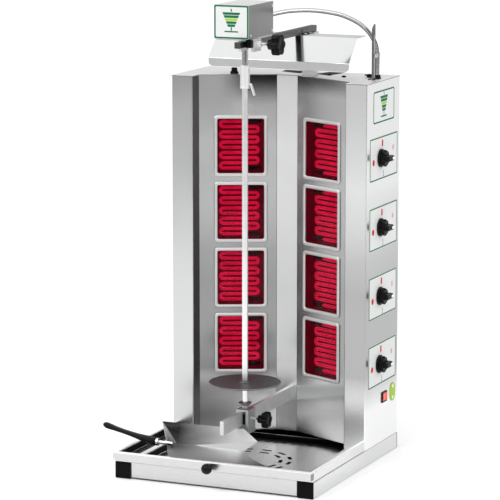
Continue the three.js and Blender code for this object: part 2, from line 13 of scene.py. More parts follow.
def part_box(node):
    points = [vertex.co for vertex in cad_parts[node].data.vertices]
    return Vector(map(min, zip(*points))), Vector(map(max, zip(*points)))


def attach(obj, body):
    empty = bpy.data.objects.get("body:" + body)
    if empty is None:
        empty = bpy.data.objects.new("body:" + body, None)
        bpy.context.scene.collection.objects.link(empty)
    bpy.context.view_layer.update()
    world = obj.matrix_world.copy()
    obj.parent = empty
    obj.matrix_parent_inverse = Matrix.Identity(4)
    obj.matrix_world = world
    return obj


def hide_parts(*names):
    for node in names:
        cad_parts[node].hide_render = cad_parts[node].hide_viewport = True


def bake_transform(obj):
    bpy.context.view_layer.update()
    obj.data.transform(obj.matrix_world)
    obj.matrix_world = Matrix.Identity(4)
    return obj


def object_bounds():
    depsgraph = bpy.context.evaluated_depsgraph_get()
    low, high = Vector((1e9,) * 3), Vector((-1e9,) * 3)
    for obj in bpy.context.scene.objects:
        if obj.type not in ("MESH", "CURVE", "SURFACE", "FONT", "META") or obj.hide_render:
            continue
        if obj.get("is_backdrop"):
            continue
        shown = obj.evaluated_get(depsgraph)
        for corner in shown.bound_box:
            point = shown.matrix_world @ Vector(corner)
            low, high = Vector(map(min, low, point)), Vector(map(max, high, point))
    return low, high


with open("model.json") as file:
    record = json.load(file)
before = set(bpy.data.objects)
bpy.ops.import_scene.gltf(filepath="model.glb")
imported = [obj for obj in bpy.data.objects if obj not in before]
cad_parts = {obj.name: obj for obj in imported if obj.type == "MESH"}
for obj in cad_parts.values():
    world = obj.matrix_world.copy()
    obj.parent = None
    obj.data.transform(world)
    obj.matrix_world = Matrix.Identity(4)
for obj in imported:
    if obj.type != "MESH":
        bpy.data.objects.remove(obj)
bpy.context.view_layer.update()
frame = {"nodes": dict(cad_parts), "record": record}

MM = 0.001
BODY_OF = {node: body for body, nodes in frame["record"]["behaviour"]["bodies"].items() for node in nodes}
SLOT_OF = {}
SIDES = (("left", -1), ("right", 1))


def box_mm(node):
    low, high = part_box(node)
    return low / MM, high / MM


def middle(node):
    low, high = box_mm(node)
    return (low + high) / 2


# ---- materials ------------------------------------------------------------------------------
class Tree:
    """Short calls for the procedural nodes of a material or of the world."""

    def __init__(self, node_tree):
        self.nodes, self.links = node_tree.nodes, node_tree.links
        self.coords = self.nodes.new("ShaderNodeTexCoord")

    def feed(self, value, socket):
        """Links an output to a socket, or sets a plain value on it."""
        if isinstance(value, bpy.types.NodeSocket):
            self.links.new(value, socket)
        else:
            socket.default_value = value

    def add(self, kind, sockets, **settings):
        node = self.nodes.new(f"ShaderNode{kind}")
        for key, value in settings.items():
            setattr(node, key, value)
        for key, value in sockets.items():
            self.feed(value, node.inputs[key])
        return node.outputs

    def noise(self, scale, detail=3.0, stretch=(1, 1, 1), roughness=0.55):
        place = self.add("Mapping", {"Vector": self.coords.outputs["Object"], "Scale": stretch})
        return self.add("TexNoise", {"Vector": place["Vector"], "Scale": scale, "Detail": detail,
                                     "Roughness": roughness})["Fac"]

    def ramp(self, value, low, high, start=0.3, end=0.7, kind="LINEAR"):
        sockets = {"Value": value, "From Min": start, "From Max": end, "To Min": low, "To Max": high}
        return self.add("MapRange", sockets, interpolation_type=kind)["Result"]

    def combine(self, operation, first, second):
        return self.add("Math", {0: first, 1: second}, operation=operation)["Value"]

    def scale(self, colour, factor):
        return self.add("VectorMath", {"Vector": colour, "Scale": factor}, operation="SCALE")["Vector"]

    def mix(self, factor, first, second):
        return self.add("Mix", {"Factor": factor, 6: first, 7: second}, data_type="RGBA")[2]

    def axis(self, name, source="Object"):
        return self.add("SeparateXYZ", {"Vector": self.coords.outputs[source]})[name]

    def tones(self, value, levels):
        """A colour ramp; every level is (place, colour), in order."""
        node = self.nodes.new("ShaderNodeValToRGB")
        stops = node.color_ramp.elements
        while len(stops) < len(levels):
            stops.new(0.5)
        for stop, (place, colour) in zip(stops, levels):
            stop.position = place
            stop.color = (*colour, 1)
        self.links.new(value, node.inputs["Fac"])
        return node.outputs["Color"]

    def colours(self, value, low, high, start=0.3, end=0.7):
        return self.tones(value, ((start, low), (end, high)))


class Shader(Tree):
    """A Principled material that remembers the finish slot of its pieces."""

    def __init__(self, name, slot, **sockets):
        self.material = bpy.data.materials.new(name)
        self.material.use_nodes = True
        super().__init__(self.material.node_tree)
        self.main = self.nodes["Principled BSDF"]
        SLOT_OF[name] = slot
        self.set(**sockets)

    def set(self, **sockets):
        for key, value in sockets.items():
            self.feed(value, self.main.inputs[key.replace("_", " ")])

    def bump(self, height, strength, distance):
        sockets = {"Strength": strength, "Distance": distance, "Height": height}
        self.set(Normal=self.add("Bump", sockets)["Normal"])


def scaled(colour, factor):
    return tuple(min(channel * factor, 1.0) for channel in colour)


def around(colour, spread):
    """The two tones that a colour wanders between."""
    return scaled(colour, 1 - spread), scaled(colour, 1 + spread)


def brushed(name, tone, rough, grain, spread=0.025, streak=0.4, painted_shading=(), corner=None):
    """Brushed sheet: fine lines along the grain, slow clouding, finger smudges in the gloss.

    The tone scales STEEL; tones other than one give lighter and darker copies, painted light and painted shade.
    A fade is (Z where it starts, Z where it ends, tone past its end) and the corner is (X start, X end, Z start,
    Z end, tone in the corner), in metres: a fade is painted shade where its tone is below one and painted light
    where it is above, and the corner is painted shade.
    """
    shader = Shader(name, "stainless", Metallic=1.0)
    stretch = {"x": (0.012, 1, 1), "y": (1, 0.012, 1), "z": (1, 1, 0.012)}[grain]
    lines = shader.noise(1500, 2, stretch)
    bands = shader.noise(110, 3, stretch)
    cloud = shader.noise(5.5, 4, (1, 1, 1), 0.6)
    mixed = shader.combine("ADD", shader.combine("MULTIPLY", bands, streak),
                           shader.combine("MULTIPLY", cloud, 1 - streak))
    base = shader.colours(mixed, *around(scaled(STEEL, tone), spread), 0.35, 0.65)
    # Painted shade and painted light: each fade darkens or lightens the sheet along the height.
    for start, end, level in painted_shading:
        base = shader.scale(base, shader.ramp(shader.axis("Z"), 1.0, level, start, end))
    # Painted shade: a darker corner.
    if corner:
        painted_shade_corner = shader.combine("MULTIPLY", shader.ramp(shader.axis("X"), 0, 1, *corner[:2], "SMOOTHSTEP"),
                                shader.ramp(shader.axis("Z"), 0, 1, *corner[2:4], "SMOOTHSTEP"))
        base = shader.scale(base, shader.ramp(painted_shade_corner, 1.0, corner[4], 0, 1))
    gloss = shader.combine("ADD", shader.ramp(lines, rough - 0.008, rough + 0.008),
                           shader.ramp(cloud, -0.01, 0.01))
    shader.set(Base_Color=base, Roughness=gloss)
    shader.bump(lines, 0.006, 0.0002)
    return shader.material


def polished_metal(name, colour, rough, spread=0.05, slot="stainless"):
    shader = Shader(name, slot, Metallic=1.0)
    haze = shader.noise(38, 4)
    fine = shader.noise(900, 2)
    gloss = shader.combine("ADD", shader.ramp(haze, rough, rough + 0.07), shader.ramp(fine, -0.015, 0.015))
    shader.set(Base_Color=shader.colours(haze, *around(colour, spread)), Roughness=gloss)
    shader.bump(fine, 0.02, 0.0001)
    return shader.material


def plastic(name, colour, rough, grain_scale=1400, lift=0.12, spread=0.25, coat=0.0, shine=0.15, slot=None):
    shader = Shader(name, slot, Metallic=0.0, Coat_Weight=coat, Specular_IOR_Level=shine)
    grain = shader.noise(grain_scale, 3)
    wear = shader.noise(26, 4)
    gloss = shader.combine("ADD", shader.ramp(wear, rough - 0.06, rough + 0.08),
                           shader.ramp(grain, -0.03, 0.03))
    shader.set(Base_Color=shader.colours(wear, *around(colour, spread)), Roughness=gloss)
    shader.bump(grain, lift, 0.0002)
    return shader.material


def glowing(name, deep, hot, strength):
    """Heating tube glow: brighter and paler in patches, deeper red where it is cooler; on the reflector the same
    glow is painted light.
    """
    shader = Shader(name, "glowing_tube", Specular_IOR_Level=0.1, Emission_Strength=strength)
    patch = shader.noise(32, 3)
    scale = shader.noise(420, 3)
    shader.set(Base_Color=shader.colours(patch, scaled(deep, 0.25), scaled(hot, 0.3), 0.25, 0.75),
               Emission_Color=shader.colours(patch, deep, hot, 0.25, 0.75),
               Roughness=shader.ramp(scale, 0.45, 0.7))
    shader.bump(scale, 0.2, 0.0003)
    return shader.material


def clear_glass():
    shader = Shader("window_glass", "heater_glass", Transmission_Weight=1.0, IOR=1.1, Specular_IOR_Level=0.05)
    film = shader.noise(14, 4)
    shader.set(Base_Color=shader.colours(film, (0.90, 0.70, 0.76), (0.98, 0.80, 0.86)),
               Roughness=shader.ramp(film, 0.01, 0.05))
    return shader.material


def scoop_wall_painted_shade():
    """Painted shade: dark near the handle, light towards the mouth."""
    shader = Shader("steel_scoop_wall_painted_shade", "stainless", Metallic=1.0)
    cloud = shader.noise(30, 3, (0.3, 1, 1))
    mixed = shader.combine("ADD", shader.ramp(shader.axis("X"), 0, 1, -0.15, 0.045),
                           shader.ramp(cloud, -0.06, 0.06))
    shader.set(Base_Color=shader.colours(mixed, (0.018, 0.018, 0.019), (0.84, 0.84, 0.84), 0.0, 1.0),
               Roughness=shader.ramp(cloud, 0.3, 0.36))
    return shader.material


def conduit_painted_highlight():
    """Metal hose: painted highlight along its front and painted shade above and below, by how each face turns to
    one fixed direction.
    """
    shader = Shader("steel_conduit_painted_highlight", "polished_steel", Metallic=1.0)
    sockets = {0: shader.coords.outputs["Normal"], 1: (0.30, -0.80, 0.50)}
    painted_highlight_facing = shader.add("VectorMath", sockets, operation="DOT_PRODUCT")["Value"]
    haze = shader.noise(60, 3)
    mixed = shader.combine("ADD", painted_highlight_facing, shader.ramp(haze, -0.05, 0.05))
    shader.set(Base_Color=shader.colours(mixed, (0.10, 0.101, 0.103), (0.60, 0.603, 0.606), 0.25, 1.0),
               Roughness=shader.ramp(haze, 0.2, 0.28))
    return shader.material


STEEL = (0.71, 0.713, 0.715)
# Painted light: a lighter copy of the steel, for the centre strip and the left heater panel.
PAINTED_LIGHT_TONE = 0.97 / max(STEEL)
POLISH, MOULDED = "polished_steel", "black_plastic"
SMOOTH = (0.24, "z", 0.015, 0.3)
steel_up = brushed("steel_grain_up", 1, 0.26, "z")
steel_across = brushed("steel_grain_across", 1, 0.26, "x")
steel_back = brushed("steel_grain_back", 1, 0.26, "y")
# Centre strip: a lighter copy, painted light, with painted shade below its top and painted light near the
# bottom.
strip_painted_shading = brushed("steel_centre_strip_painted_shading", PAINTED_LIGHT_TONE, 0.26, "z", 0.015, 0.3,
                      ((0.76, 0.50, 0.62), (0.50, 0.40, 0.86), (0.22, 0.18, 1.4)))
# Heater panels: lighter copies, painted light, each with painted shade in the top corner by the centre strip,
# painted shade down the middle and painted light near the bottom.
PANEL_PAINTED_SHADING = {
    "left": brushed("steel_heater_panel_painted_shading", PAINTED_LIGHT_TONE, *SMOOTH,
                    ((0.76, 0.50, 0.40), (0.50, 0.42, 0.78), (0.30, 0.22, 0.80), (0.20, 0.11, 4.8)),
                    (-0.165, -0.085, 0.845, 0.925, 0.05)),
    "right": brushed("steel_panel_right_painted_shading", 1.1, *SMOOTH,
                     ((0.74, 0.52, 0.54), (0.50, 0.42, 0.78), (0.21, 0.12, 3.4)),
                     (0.30, 0.10, 0.88, 0.925, 0.25)),
}
# Columns: the right one is a lighter copy of the left, painted light; both get painted shade along the height,
# and the right one painted light near the bottom.
COLUMN_PAINTED_SHADING = {
    "left": brushed("steel_column", 0.96, *SMOOTH, ((0.86, 0.93, 0.82), (0.68, 0.36, 0.87))),
    "right": brushed("steel_column_right_painted_shading", 1.34, *SMOOTH,
                     ((0.68, 0.50, 0.52), (0.50, 0.42, 0.80), (0.22, 0.13, 2.2))),
}
# Painted light and painted shade: these parts get lighter or darker copies of the same brushed steel for how
# light falls on them; the bar, apron, scoop blade and motor box are darker, the top cover and hood lip lighter.
steel_bar_painted_shade = brushed("steel_bar_painted_shade", 0.17, 0.3, "y")
steel_top = brushed("steel_top_cover", 1.2, 0.42, "x")
steel_hood = brushed("steel_hood", 1, 0.13, "x", 0.02, 0.3)
lip_painted_light = brushed("steel_hood_lip_painted_light", 1.2, 0.25, "x", 0.02, 0.3)
flange_painted_shade = brushed("steel_hood_flange_painted_shade", 0.8, 0.55, "x")
steel_apron = brushed("steel_apron", 0.88, 0.28, "x")
steel_pan = brushed("steel_pan", 0.98, 0.22, "x", 0.03, 0.35)
blade_painted_shade = brushed("steel_scoop_blade_painted_shade", 0.34, 0.42, "x", 0.02, 0.35)
motor_painted_shade = brushed("steel_motor_cover_painted_shade", 0.46, 0.3, "z")
steel_motor_top_painted_light = brushed("steel_motor_top_painted_light", 1.02, 0.5, "y")
wall_painted_shade = scoop_wall_painted_shade()
# A pale copy for painted highlights on the pan's rim and left ledge.
rim_painted_highlight = polished_metal("steel_pan_rim_painted_highlight", (0.97, 0.97, 0.97), 0.62, 0.01)
steel_bezel = polished_metal("steel_bezel", (0.66, 0.665, 0.66), 0.42, 0.01, POLISH)
steel_sleeve = polished_metal("steel_sleeve", (0.80, 0.802, 0.805), 0.5, 0.01, POLISH)
steel_rod = polished_metal("steel_spit_rod", (0.86, 0.862, 0.865), 0.30, 0.03, POLISH)
polished = polished_metal("steel_polished", (0.80, 0.805, 0.81), 0.10, 0.05, POLISH)
# Near-black polished steel: painted dark reflection on the meat plate.
plate_painted_reflection = polished_metal("steel_meat_plate_painted_reflection", (0.10, 0.11, 0.113), 0.5, 0.04, POLISH)
satin = polished_metal("steel_satin", (0.70, 0.705, 0.71), 0.5)
clamp_steel = polished_metal("steel_clamp", (0.50, 0.505, 0.51), 0.42)
# Near-black steel for painted shade: the cabinet's bottom plate, the pan's rear and left parts and the cover
# beside the post.
painted_shade_black = polished_metal("steel_painted_shade_black", (0.006, 0.0055, 0.005), 0.6, 0.3)
# Mid-dark steel for painted shade at the pan's front corner.
corner_painted_shade = polished_metal("steel_corner_painted_shade", (0.30, 0.303, 0.306), 0.45, 0.06)
# Dark steel for painted shade on the columns' inner return faces.
return_painted_shade = polished_metal("steel_return_painted_shade", (0.10, 0.10, 0.104), 0.45, 0.12)
fitting = polished_metal("steel_fitting", (0.55, 0.555, 0.56), 0.2, 0.08)
# Dark steel for the conduit stake, and for painted shade on the top cover's edge faces.
dark_steel_and_edge_shade = polished_metal("steel_dark_and_edge_shade", (0.16, 0.162, 0.165), 0.35, 0.1)
hose_painted_highlight = conduit_painted_highlight()
black = plastic("plastic_black", (0.004, 0.004, 0.0045), 0.36, 1400, 0.06, 0.25, 0.0, 0.10, MOULDED)
black_gloss = plastic("plastic_black_gloss", (0.004, 0.004, 0.0045), 0.18, 600, 0.03, 0.2, slot=MOULDED)
rubber = plastic("rubber_cap", (0.005, 0.005, 0.0055), 0.62, 900, 0.2, 0.25, 0.0, 0.05, MOULDED)
grip_black = plastic("grip_black", (0.004, 0.004, 0.0045), 0.4, 600, 0.03, 0.2, 0.0, 0.12, MOULDED)
ceramic = plastic("ceramic_bush", (0.02, 0.004, 0.005), 0.7, 700, 0.2, slot=MOULDED)
orange = plastic("rocker_orange", (0.80, 0.085, 0.010), 0.22, 600, 0.03, 0.12, 0.3, slot="orange_plastic")
motor_paint = plastic("motor_paint", (0.18, 0.19, 0.20), 0.5, 500, 0.15, 0.15)
white_film = plastic("label_white", (0.60, 0.61, 0.605), 0.5, 500, 0.02, 0.02)
green_film = plastic("label_green", (0.002, 0.12, 0.045), 0.5, 500, 0.03, 0.1)
red_film = plastic("label_red", (0.52, 0.012, 0.025), 0.5, 500, 0.03, 0.1)
pale_red_film = plastic("label_pale_red", (0.56, 0.28, 0.28), 0.5, 500, 0.03, 0.06)
lime = plastic("plate_lime", (0.30, 0.46, 0.025), 0.35, 500, 0.03, 0.08)
mark_white = plastic("mark_white", (0.80, 0.80, 0.78), 0.45, 500, 0.03, 0.04)
# Painted light: the reflectors glow dark red, the tubes' light painted onto them.
reflector_painted_glow = glowing("reflector_painted_red_glow", (0.09, 0.001, 0.006), (0.13, 0.002, 0.010), 0.55)
tube_glow = glowing("tube_glow", (0.46, 0.002, 0.030), (0.66, 0.006, 0.055), 0.85)
glass = clear_glass()


# ---- mesh helpers ---------------------------------------------------------------------------
def mesh_from(name, bm):
    """The mesh of a bmesh, which is freed."""
    mesh = bpy.data.meshes.new(name)
    bm.to_mesh(mesh)
    bm.free()
    return mesh


def in_scene(name, data):
    obj = bpy.data.objects.new(name, data)
    bpy.context.scene.collection.objects.link(obj)
    return obj


def piece(name, bm, body, material, sharp=38, slot=None, stands_for=()):
    """Turns a bmesh in metres into a shown object that rides on a CAD body."""
    bmesh.ops.remove_doubles(bm, verts=bm.verts, dist=2e-6)
    bmesh.ops.recalc_face_normals(bm, faces=bm.faces)
    mesh = mesh_from(name, bm)
    mesh.materials.append(material)
    mesh.polygons.foreach_set("use_smooth", [True] * len(mesh.polygons))
    mesh.set_sharp_from_angle(angle=math.radians(sharp))
    obj = in_scene(name, mesh)
    obj.modifiers.new("weighted", "WEIGHTED_NORMAL").keep_sharp = True
    if body:
        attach(obj, body)
    slot = slot or SLOT_OF[material.name]
    if stands_for:
        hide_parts(*stands_for)
    return obj


def stand_in(node, bm, material, sharp=38):
    """The fine version of a CAD node, on the node's body."""
    return piece(f"{node}_fine", bm, BODY_OF[node], material, sharp, None, (node,))


def repaint(obj, *rules):
    """Gives a face the material of the first rule that holds for its middle and its normal."""
    for material, _ in rules:
        obj.data.materials.append(material)
    for polygon in obj.data.polygons:
        holding = [i for i, (_, rule) in enumerate(rules) if rule(polygon.center / MM, polygon.normal)]
        if holding:
            polygon.material_index = holding[0] + 1
    return obj


def loft(bm, rings, loop=False, caps=True, place=None):
    """Skins a list of rings of points, capping the two ends or closing the last onto the first."""
    place = place or Matrix.Identity(4)
    rows = [[bm.verts.new((place @ Vector(point)) * MM) for point in ring] for ring in rings]
    pairs = list(zip(rows, rows[1:]))
    if loop:
        pairs.append((rows[-1], rows[0]))
    for first, second in pairs:
        for i in range(len(first)):
            j = (i + 1) % len(first)
            bm.faces.new((first[i], first[j], second[j], second[i]))
    if caps and not loop:
        bm.faces.new(rows[0][::-1])
        bm.faces.new(rows[-1])
    return bm


def soften(bm, width, segments=2, angle=35, choose=None, clamp=True):
    """Rounds the edges sharper than the angle; width is in millimetres."""
    edges = [e for e in bm.edges if len(e.link_faces) == 2 and e.calc_face_angle(0) > math.radians(angle)]
    if choose:
        edges = [e for e in edges if choose((e.verts[0].co + e.verts[1].co) / 2 / MM, e)]
    bmesh.ops.bevel(bm, geom=edges, offset=width * MM, segments=segments, profile=0.5,
                    affect="EDGES", clamp_overlap=clamp)
    return bm


AXES = {"x": lambda u, v, w: (w, u, v), "y": lambda u, v, w: (u, w, v), "z": lambda u, v, w: (u, v, w)}


def prism(outline, axis, low, high, bevel=0.3, bm=None, place=None):
    """An outline in the plane across the axis, raised from low to high, with softened ends."""
    made = raised(AXES[axis], ((outline, low), (outline, high)), place=place)
    if bevel:
        soften(made, bevel)
    return absorb(bm, made)


def absorb(bm, other):
    """Adds one bmesh's geometry to another."""
    if bm is None:
        return other
    mesh = mesh_from("scratch", other)
    bm.from_mesh(mesh)
    bpy.data.meshes.remove(mesh)
    return bm


def slab(x0, x1, y0, y1, z0, z1, bevel=0.5, bm=None):
    return prism([(x0, y0), (x1, y0), (x1, y1), (x0, y1)], "z", z0, z1, bevel, bm)


def slabs(name, body, material, *boxes):
    """Plates and films shown as one piece; a box is x0, x1, y0, y1, z0, z1 and its bevel."""
    bm = None
    for box in boxes:
        bm = slab(*box, bm)
    return piece(name, bm, body, material)


def fillet(points, radius, steps=4, closed=False):
    """Rounds the corners of a flat polyline with arcs."""
    points = [Vector(p) for p in points]
    count = len(points)
    result = [] if closed else [points[0]]
    for i in range(0 if closed else 1, count if closed else count - 1):
        here = points[i]
        back = points[i - 1] - here
        ahead = points[(i + 1) % count] - here
        angle = back.angle(ahead)
        if angle > math.pi - 0.02 or angle < 0.02:
            result.append(here)
            continue
        reach = min(radius / math.tan(angle / 2), back.length * 0.48, ahead.length * 0.48)
        curve = reach * math.tan(angle / 2)
        centre = here + (back.normalized() + ahead.normalized()).normalized() * (curve / math.sin(angle / 2))
        start = here + back.normalized() * reach - centre
        end = here + ahead.normalized() * reach - centre
        from_angle = math.atan2(start.y, start.x)
        sweep = math.remainder(math.atan2(end.y, end.x) - from_angle, 2 * math.pi)
        for k in range(steps + 1):
            turn = from_angle + sweep * k / steps
            result.append(centre + Vector((math.cos(turn), math.sin(turn))) * curve)
    if not closed:
        result.append(points[-1])
    return [tuple(p) for p in result]


def folded(points, thickness, radius=3.0):
    """The section of a folded sheet: a rounded polyline and its offset to the left."""
    path = [Vector(p) for p in fillet(points, radius)]
    offset = []
    for i, point in enumerate(path):
        along = path[min(i + 1, len(path) - 1)] - path[max(i - 1, 0)]
        offset.append(point + Vector((-along.y, along.x)).normalized() * thickness)
    return [tuple(p) for p in path + offset[::-1]]


def circle(radius, count=24, centre=(0, 0)):
    turns = [2 * math.pi * i / count for i in range(count)]
    return [(centre[0] + radius * math.cos(a), centre[1] + radius * math.sin(a)) for a in turns]


def rounded_rect(width, height, radius, steps=6, centre=(0, 0)):
    corners = [(centre[0] + x * width / 2, centre[1] + y * height / 2)
               for x, y in ((-1, -1), (1, -1), (1, 1), (-1, 1))]
    return fillet(corners, radius, steps, closed=True)


def lathe(profile, axis, centre, segments=40, round_by=0.5, bm=None):
    """A turned piece. The profile's points are (radius, height along the axis)."""
    path = fillet(profile, round_by, 3) if round_by else profile
    rings = [[Vector(AXES[axis](u, v, h)) + Vector(centre) for u, v in circle(r, segments)] for r, h in path]
    return loft(bm or bmesh.new(), rings, loop=profile[0] == profile[-1], caps=False)


def sweep(path, radius, count=12):
    """A tube along a path; the radius is a function of the ring's index."""
    path = [Vector(p) for p in path]
    tangents = [(path[min(i + 1, len(path) - 1)] - path[max(i - 1, 0)]).normalized() for i in range(len(path))]
    side = tangents[0].orthogonal().normalized()
    rings = []
    for i, (point, tangent) in enumerate(zip(path, tangents)):
        side = (side - tangent * side.dot(tangent)).normalized()
        other = tangent.cross(side)
        rings.append([point + side * u + other * v for u, v in circle(radius(i), count)])
    return loft(bmesh.new(), rings)


def catmull(points, steps):
    """A smooth path through the points."""
    points = [Vector(p) for p in points]
    ends = [2 * points[0] - points[1], *points, 2 * points[-1] - points[-2]]
    path = []
    for a, b, c, d in zip(ends, ends[1:], ends[2:], ends[3:]):
        for k in range(steps):
            t = k / steps
            path.append(0.5 * (2 * b + (c - a) * t + (2 * a - 5 * b + 4 * c - d) * t * t
                               + (3 * b - a - 3 * c + d) * t ** 3))
    return path + [points[-1]]


def node_mesh(node):
    """A CAD node's mesh with its triangles merged back into flat faces."""
    bm = bmesh.new()
    bm.from_mesh(frame["nodes"][node].data)
    bmesh.ops.remove_doubles(bm, verts=bm.verts, dist=1e-6)
    bmesh.ops.dissolve_limit(bm, angle_limit=math.radians(0.6), verts=bm.verts, edges=bm.edges)
    return bm


def refined(node, material, bevel=0.5, segments=2):
    """A CAD node rebuilt with softened edges."""
    return stand_in(node, soften(node_mesh(node), bevel, segments), material)


def finish_node(node, material):
    """Gives a carried-over CAD node its material."""
    for holder in frame["nodes"][node].material_slots:
        holder.material = material


def raised(put, levels, loop=False, bm=None, place=None):
    """Skins flat outlines, each with its height over the surface that put describes."""
    return loft(bm or bmesh.new(), [[put(u, v, w) for u, v in line] for line, w in levels], loop, True, place)


def ring_frame(outer, inner, put, low, high):
    """A flat frame between two outlines with the same number of points."""
    return raised(put, ((outer, low), (outer, high), (inner, high), (inner, low)), True)


def dome_screw(name, centre, axis, radius, body="root", material=None, height=None):
    """A domed screw head with a small driver recess."""
    height = height or radius * 0.55
    sign = -1 if axis.startswith("-") else 1
    profile = [(0, -0.2), (radius, -0.2), (radius, height * 0.35), (radius * 0.72, height * 0.85),
               (radius * 0.34, height), (radius * 0.32, height * 0.45), (0, height * 0.4)]
    bm = lathe([(r, sign * h) for r, h in profile], axis[-1], centre, 20, radius * 0.08)
    return piece(name, bm, body, material or fitting)


def hex_bolt(name, centre, sign, radius, body="root"):
    """A hexagon head on its washer, facing up or down."""
    bm = lathe([(0, -0.2 * sign), (radius * 1.5, -0.2 * sign), (radius * 1.5, 1.2 * sign), (0, 1.2 * sign)],
               "z", centre, 28, 0.3)
    levels = ((1.0, 1.0), (1.0, radius * 0.75), (0.86, radius * 0.95), (0.3, radius))
    head = raised(AXES["z"], [(circle(radius * scale, 6, centre[:2]), centre[2] + sign * height)
                              for scale, height in levels])
    absorb(bm, soften(head, 0.25, 1))
    return piece(name, bm, body, fitting)


# ---- base, drawer front and pan -------------------------------------------------------------
for side, _ in SIDES:
    refined(f"base_rail_{side}", steel_back, 0.25, 1)
    refined(f"rail_cap_{side}", rubber, 0.7)
    low, high = box_mm(f"base_rail_{side}")
    centre = ((low.x + high.x) / 2, (low.z + high.z) / 2)
    bm = prism(rounded_rect(high.x - low.x, high.z - low.z, 3, 4, centre), "y", high.y + 0.2, high.y + 3, 0.6)
    piece(f"rail_rear_cap_{side}", bm, "root", rubber)
# Painted shade: the bottom plate is near black for the shade inside the cabinet.
refined("bottom_plate", painted_shade_black, 0.3, 1)
refined("front_apron", steel_apron, 0.4)

PAN_LOW, PAN_HIGH = box_mm("drip_pan")
LIP_FOOT = 46.5
PAN_FLOOR = 26.0


def lip_end(at, edge):
    """The lower left edge of the pan's lip."""
    return at.x < PAN_LOW.x + 1 and abs(at.z - LIP_FOOT) < 0.6 and at.y < -280


def pan_corner(at, edge):
    """The upright corners of the pan's outer skirt, at its front."""
    upright = abs(edge.verts[0].co.z - edge.verts[1].co.z) > 0.01
    return upright and at.y < PAN_LOW.y + 1 and abs(at.x) > PAN_HIGH.x - 1


def drain_slots():
    """All the slots as one cutter: two rings round the spit, a straight row and the ledges' rows."""
    spit = middle("spit_rod")
    through_floor = (PAN_FLOOR - 8, PAN_FLOOR + 8, 0)
    slots = bmesh.new()
    for radius, count, phase in ((86, 11, 0.1), (109, 14, 0.0)):
        for i in range(count):
            start = phase + 2 * math.pi * i / count
            span = 2 * math.pi / count * 0.56
            arc = [(start + span * k / 5) for k in range(6)]
            outer, inner = [[(spit.x + r * math.cos(a), spit.y + r * math.sin(a)) for a in arc]
                            for r in (radius + 4.6, radius - 4.6)]
            prism(fillet(outer + inner[::-1], 3.4, 3, True), "z", *through_floor, slots)
    for i in range(-8, 9):
        prism(rounded_rect(15, 9, 4.2, 4, (i * 23, 96)), "z", *through_floor, slots)
    for _, sign in SIDES:
        for i in range(18):
            prism(rounded_rect(9, 6, 2.3, 4, (sign * 231, -262 + i * 13)), "z", 40, 52, 0, slots)
    bmesh.ops.recalc_face_normals(slots, faces=slots.faces)
    return in_scene("slot_cutter", mesh_from("slot_cutter", slots))


def drip_pan():
    """Pressed tray with a folded rim, a stepped ledge, a well and its drain slots."""
    bm = node_mesh("drip_pan")
    soften(bm, 9, 5, 35, lip_end, False)
    soften(bm, 4, 4, 35, pan_corner, False)
    tray = stand_in("drip_pan", soften(bm, 1.6, 3), steel_pan, 30)
    cutter = drain_slots()
    boolean = tray.modifiers.new("slots", "BOOLEAN")
    boolean.object = cutter
    boolean.solver = "EXACT"
    tray.modifiers.remove(tray.modifiers["weighted"])
    graph = bpy.context.evaluated_depsgraph_get()
    cut_mesh = bpy.data.meshes.new_from_object(tray.evaluated_get(graph))
    tray.modifiers.clear()
    tray.data = cut_mesh
    tray.modifiers.new("weighted", "WEIGHTED_NORMAL").keep_sharp = True
    # Painted highlight on the rim's top faces; painted shade on the front faces, which get the apron's darker
    # steel.
    repaint(tray, (rim_painted_highlight, lambda at, normal: normal.z > 0.5 and at.z > PAN_HIGH.z - 2),
            (steel_apron, lambda at, normal: at.y < PAN_LOW.y + 4))
    bpy.data.objects.remove(cutter)


def pan_knob():
    """Ball on a short flanged neck."""
    low, high = box_mm("pan_knob")
    centre, ball = middle("pan_knob"), 13
    turns = [math.pi * k / 14 for k in range(2, 14)]
    profile = [(0, high.y), (7, high.y), (7, high.y - 2), (4.2, high.y - 3.2), (4.2, high.y - 8),
               *((ball * math.sin(a), low.y + ball + ball * math.cos(a)) for a in turns), (0, low.y)]
    stand_in("pan_knob", lathe(profile, "y", (centre.x, 0, centre.z), 40, 0), black_gloss, 50)


drip_pan()
# Near-black films on the pan's rear wall and floor, its left wall and ledge and the left of its well: painted
# shade.
slabs("pan_painted_shade", "pan", painted_shade_black, (-209, 209, 126.0, 126.3, 26.2, 38, 0),
      (-209, 209, 104, 126.2, 26.05, 26.3, 0), (-246.9, -246.7, -274, 44, 47, 61.5, 0),
      (-246.6, -241, -274, 44, 45.05, 45.25, 0), (-209.4, -209.2, -243, -40, 27, 43, 0),
      (-209, -150, -243, -160, 26.05, 26.25, 0))
# A pale strip along the left ledge: painted highlight.
slabs("pan_ledge_painted_highlight", "pan", rim_painted_highlight, (-224, -212, -274, 44, 45.05, 45.3, 0.1))
# A darker film on the pan's right side at its front corner: painted shade.
slabs("pan_corner_painted_shade", "pan", corner_painted_shade,
      (255.05, 255.3, PAN_LOW.y + 1.5, PAN_LOW.y + 17, LIP_FOOT, 62, 0))
pan_knob()

# ---- cabinet --------------------------------------------------------------------------------
SHEET = 1.5
(_, FRONT, CABINET_LOW), (_, _, CABINET_TOP) = box_mm("side_panel_left")
INNER, OUTER = (corner.x for corner in box_mm("side_panel_right"))
BACK = box_mm("rear_panel")[1].y
RECESS = FRONT + 38
COVER_TOP = box_mm("top_cover")[1].z


def side_panel(sign):
    """One sheet from the back corner round the column front to the heater panel."""
    points = [(sign * OUTER, BACK - SHEET - 0.3), (sign * OUTER, FRONT), (sign * INNER, FRONT),
              (sign * INNER, RECESS)]
    return prism(folded(points, -sign * SHEET, 2.6), "z", CABINET_LOW, CABINET_TOP, 0.25)


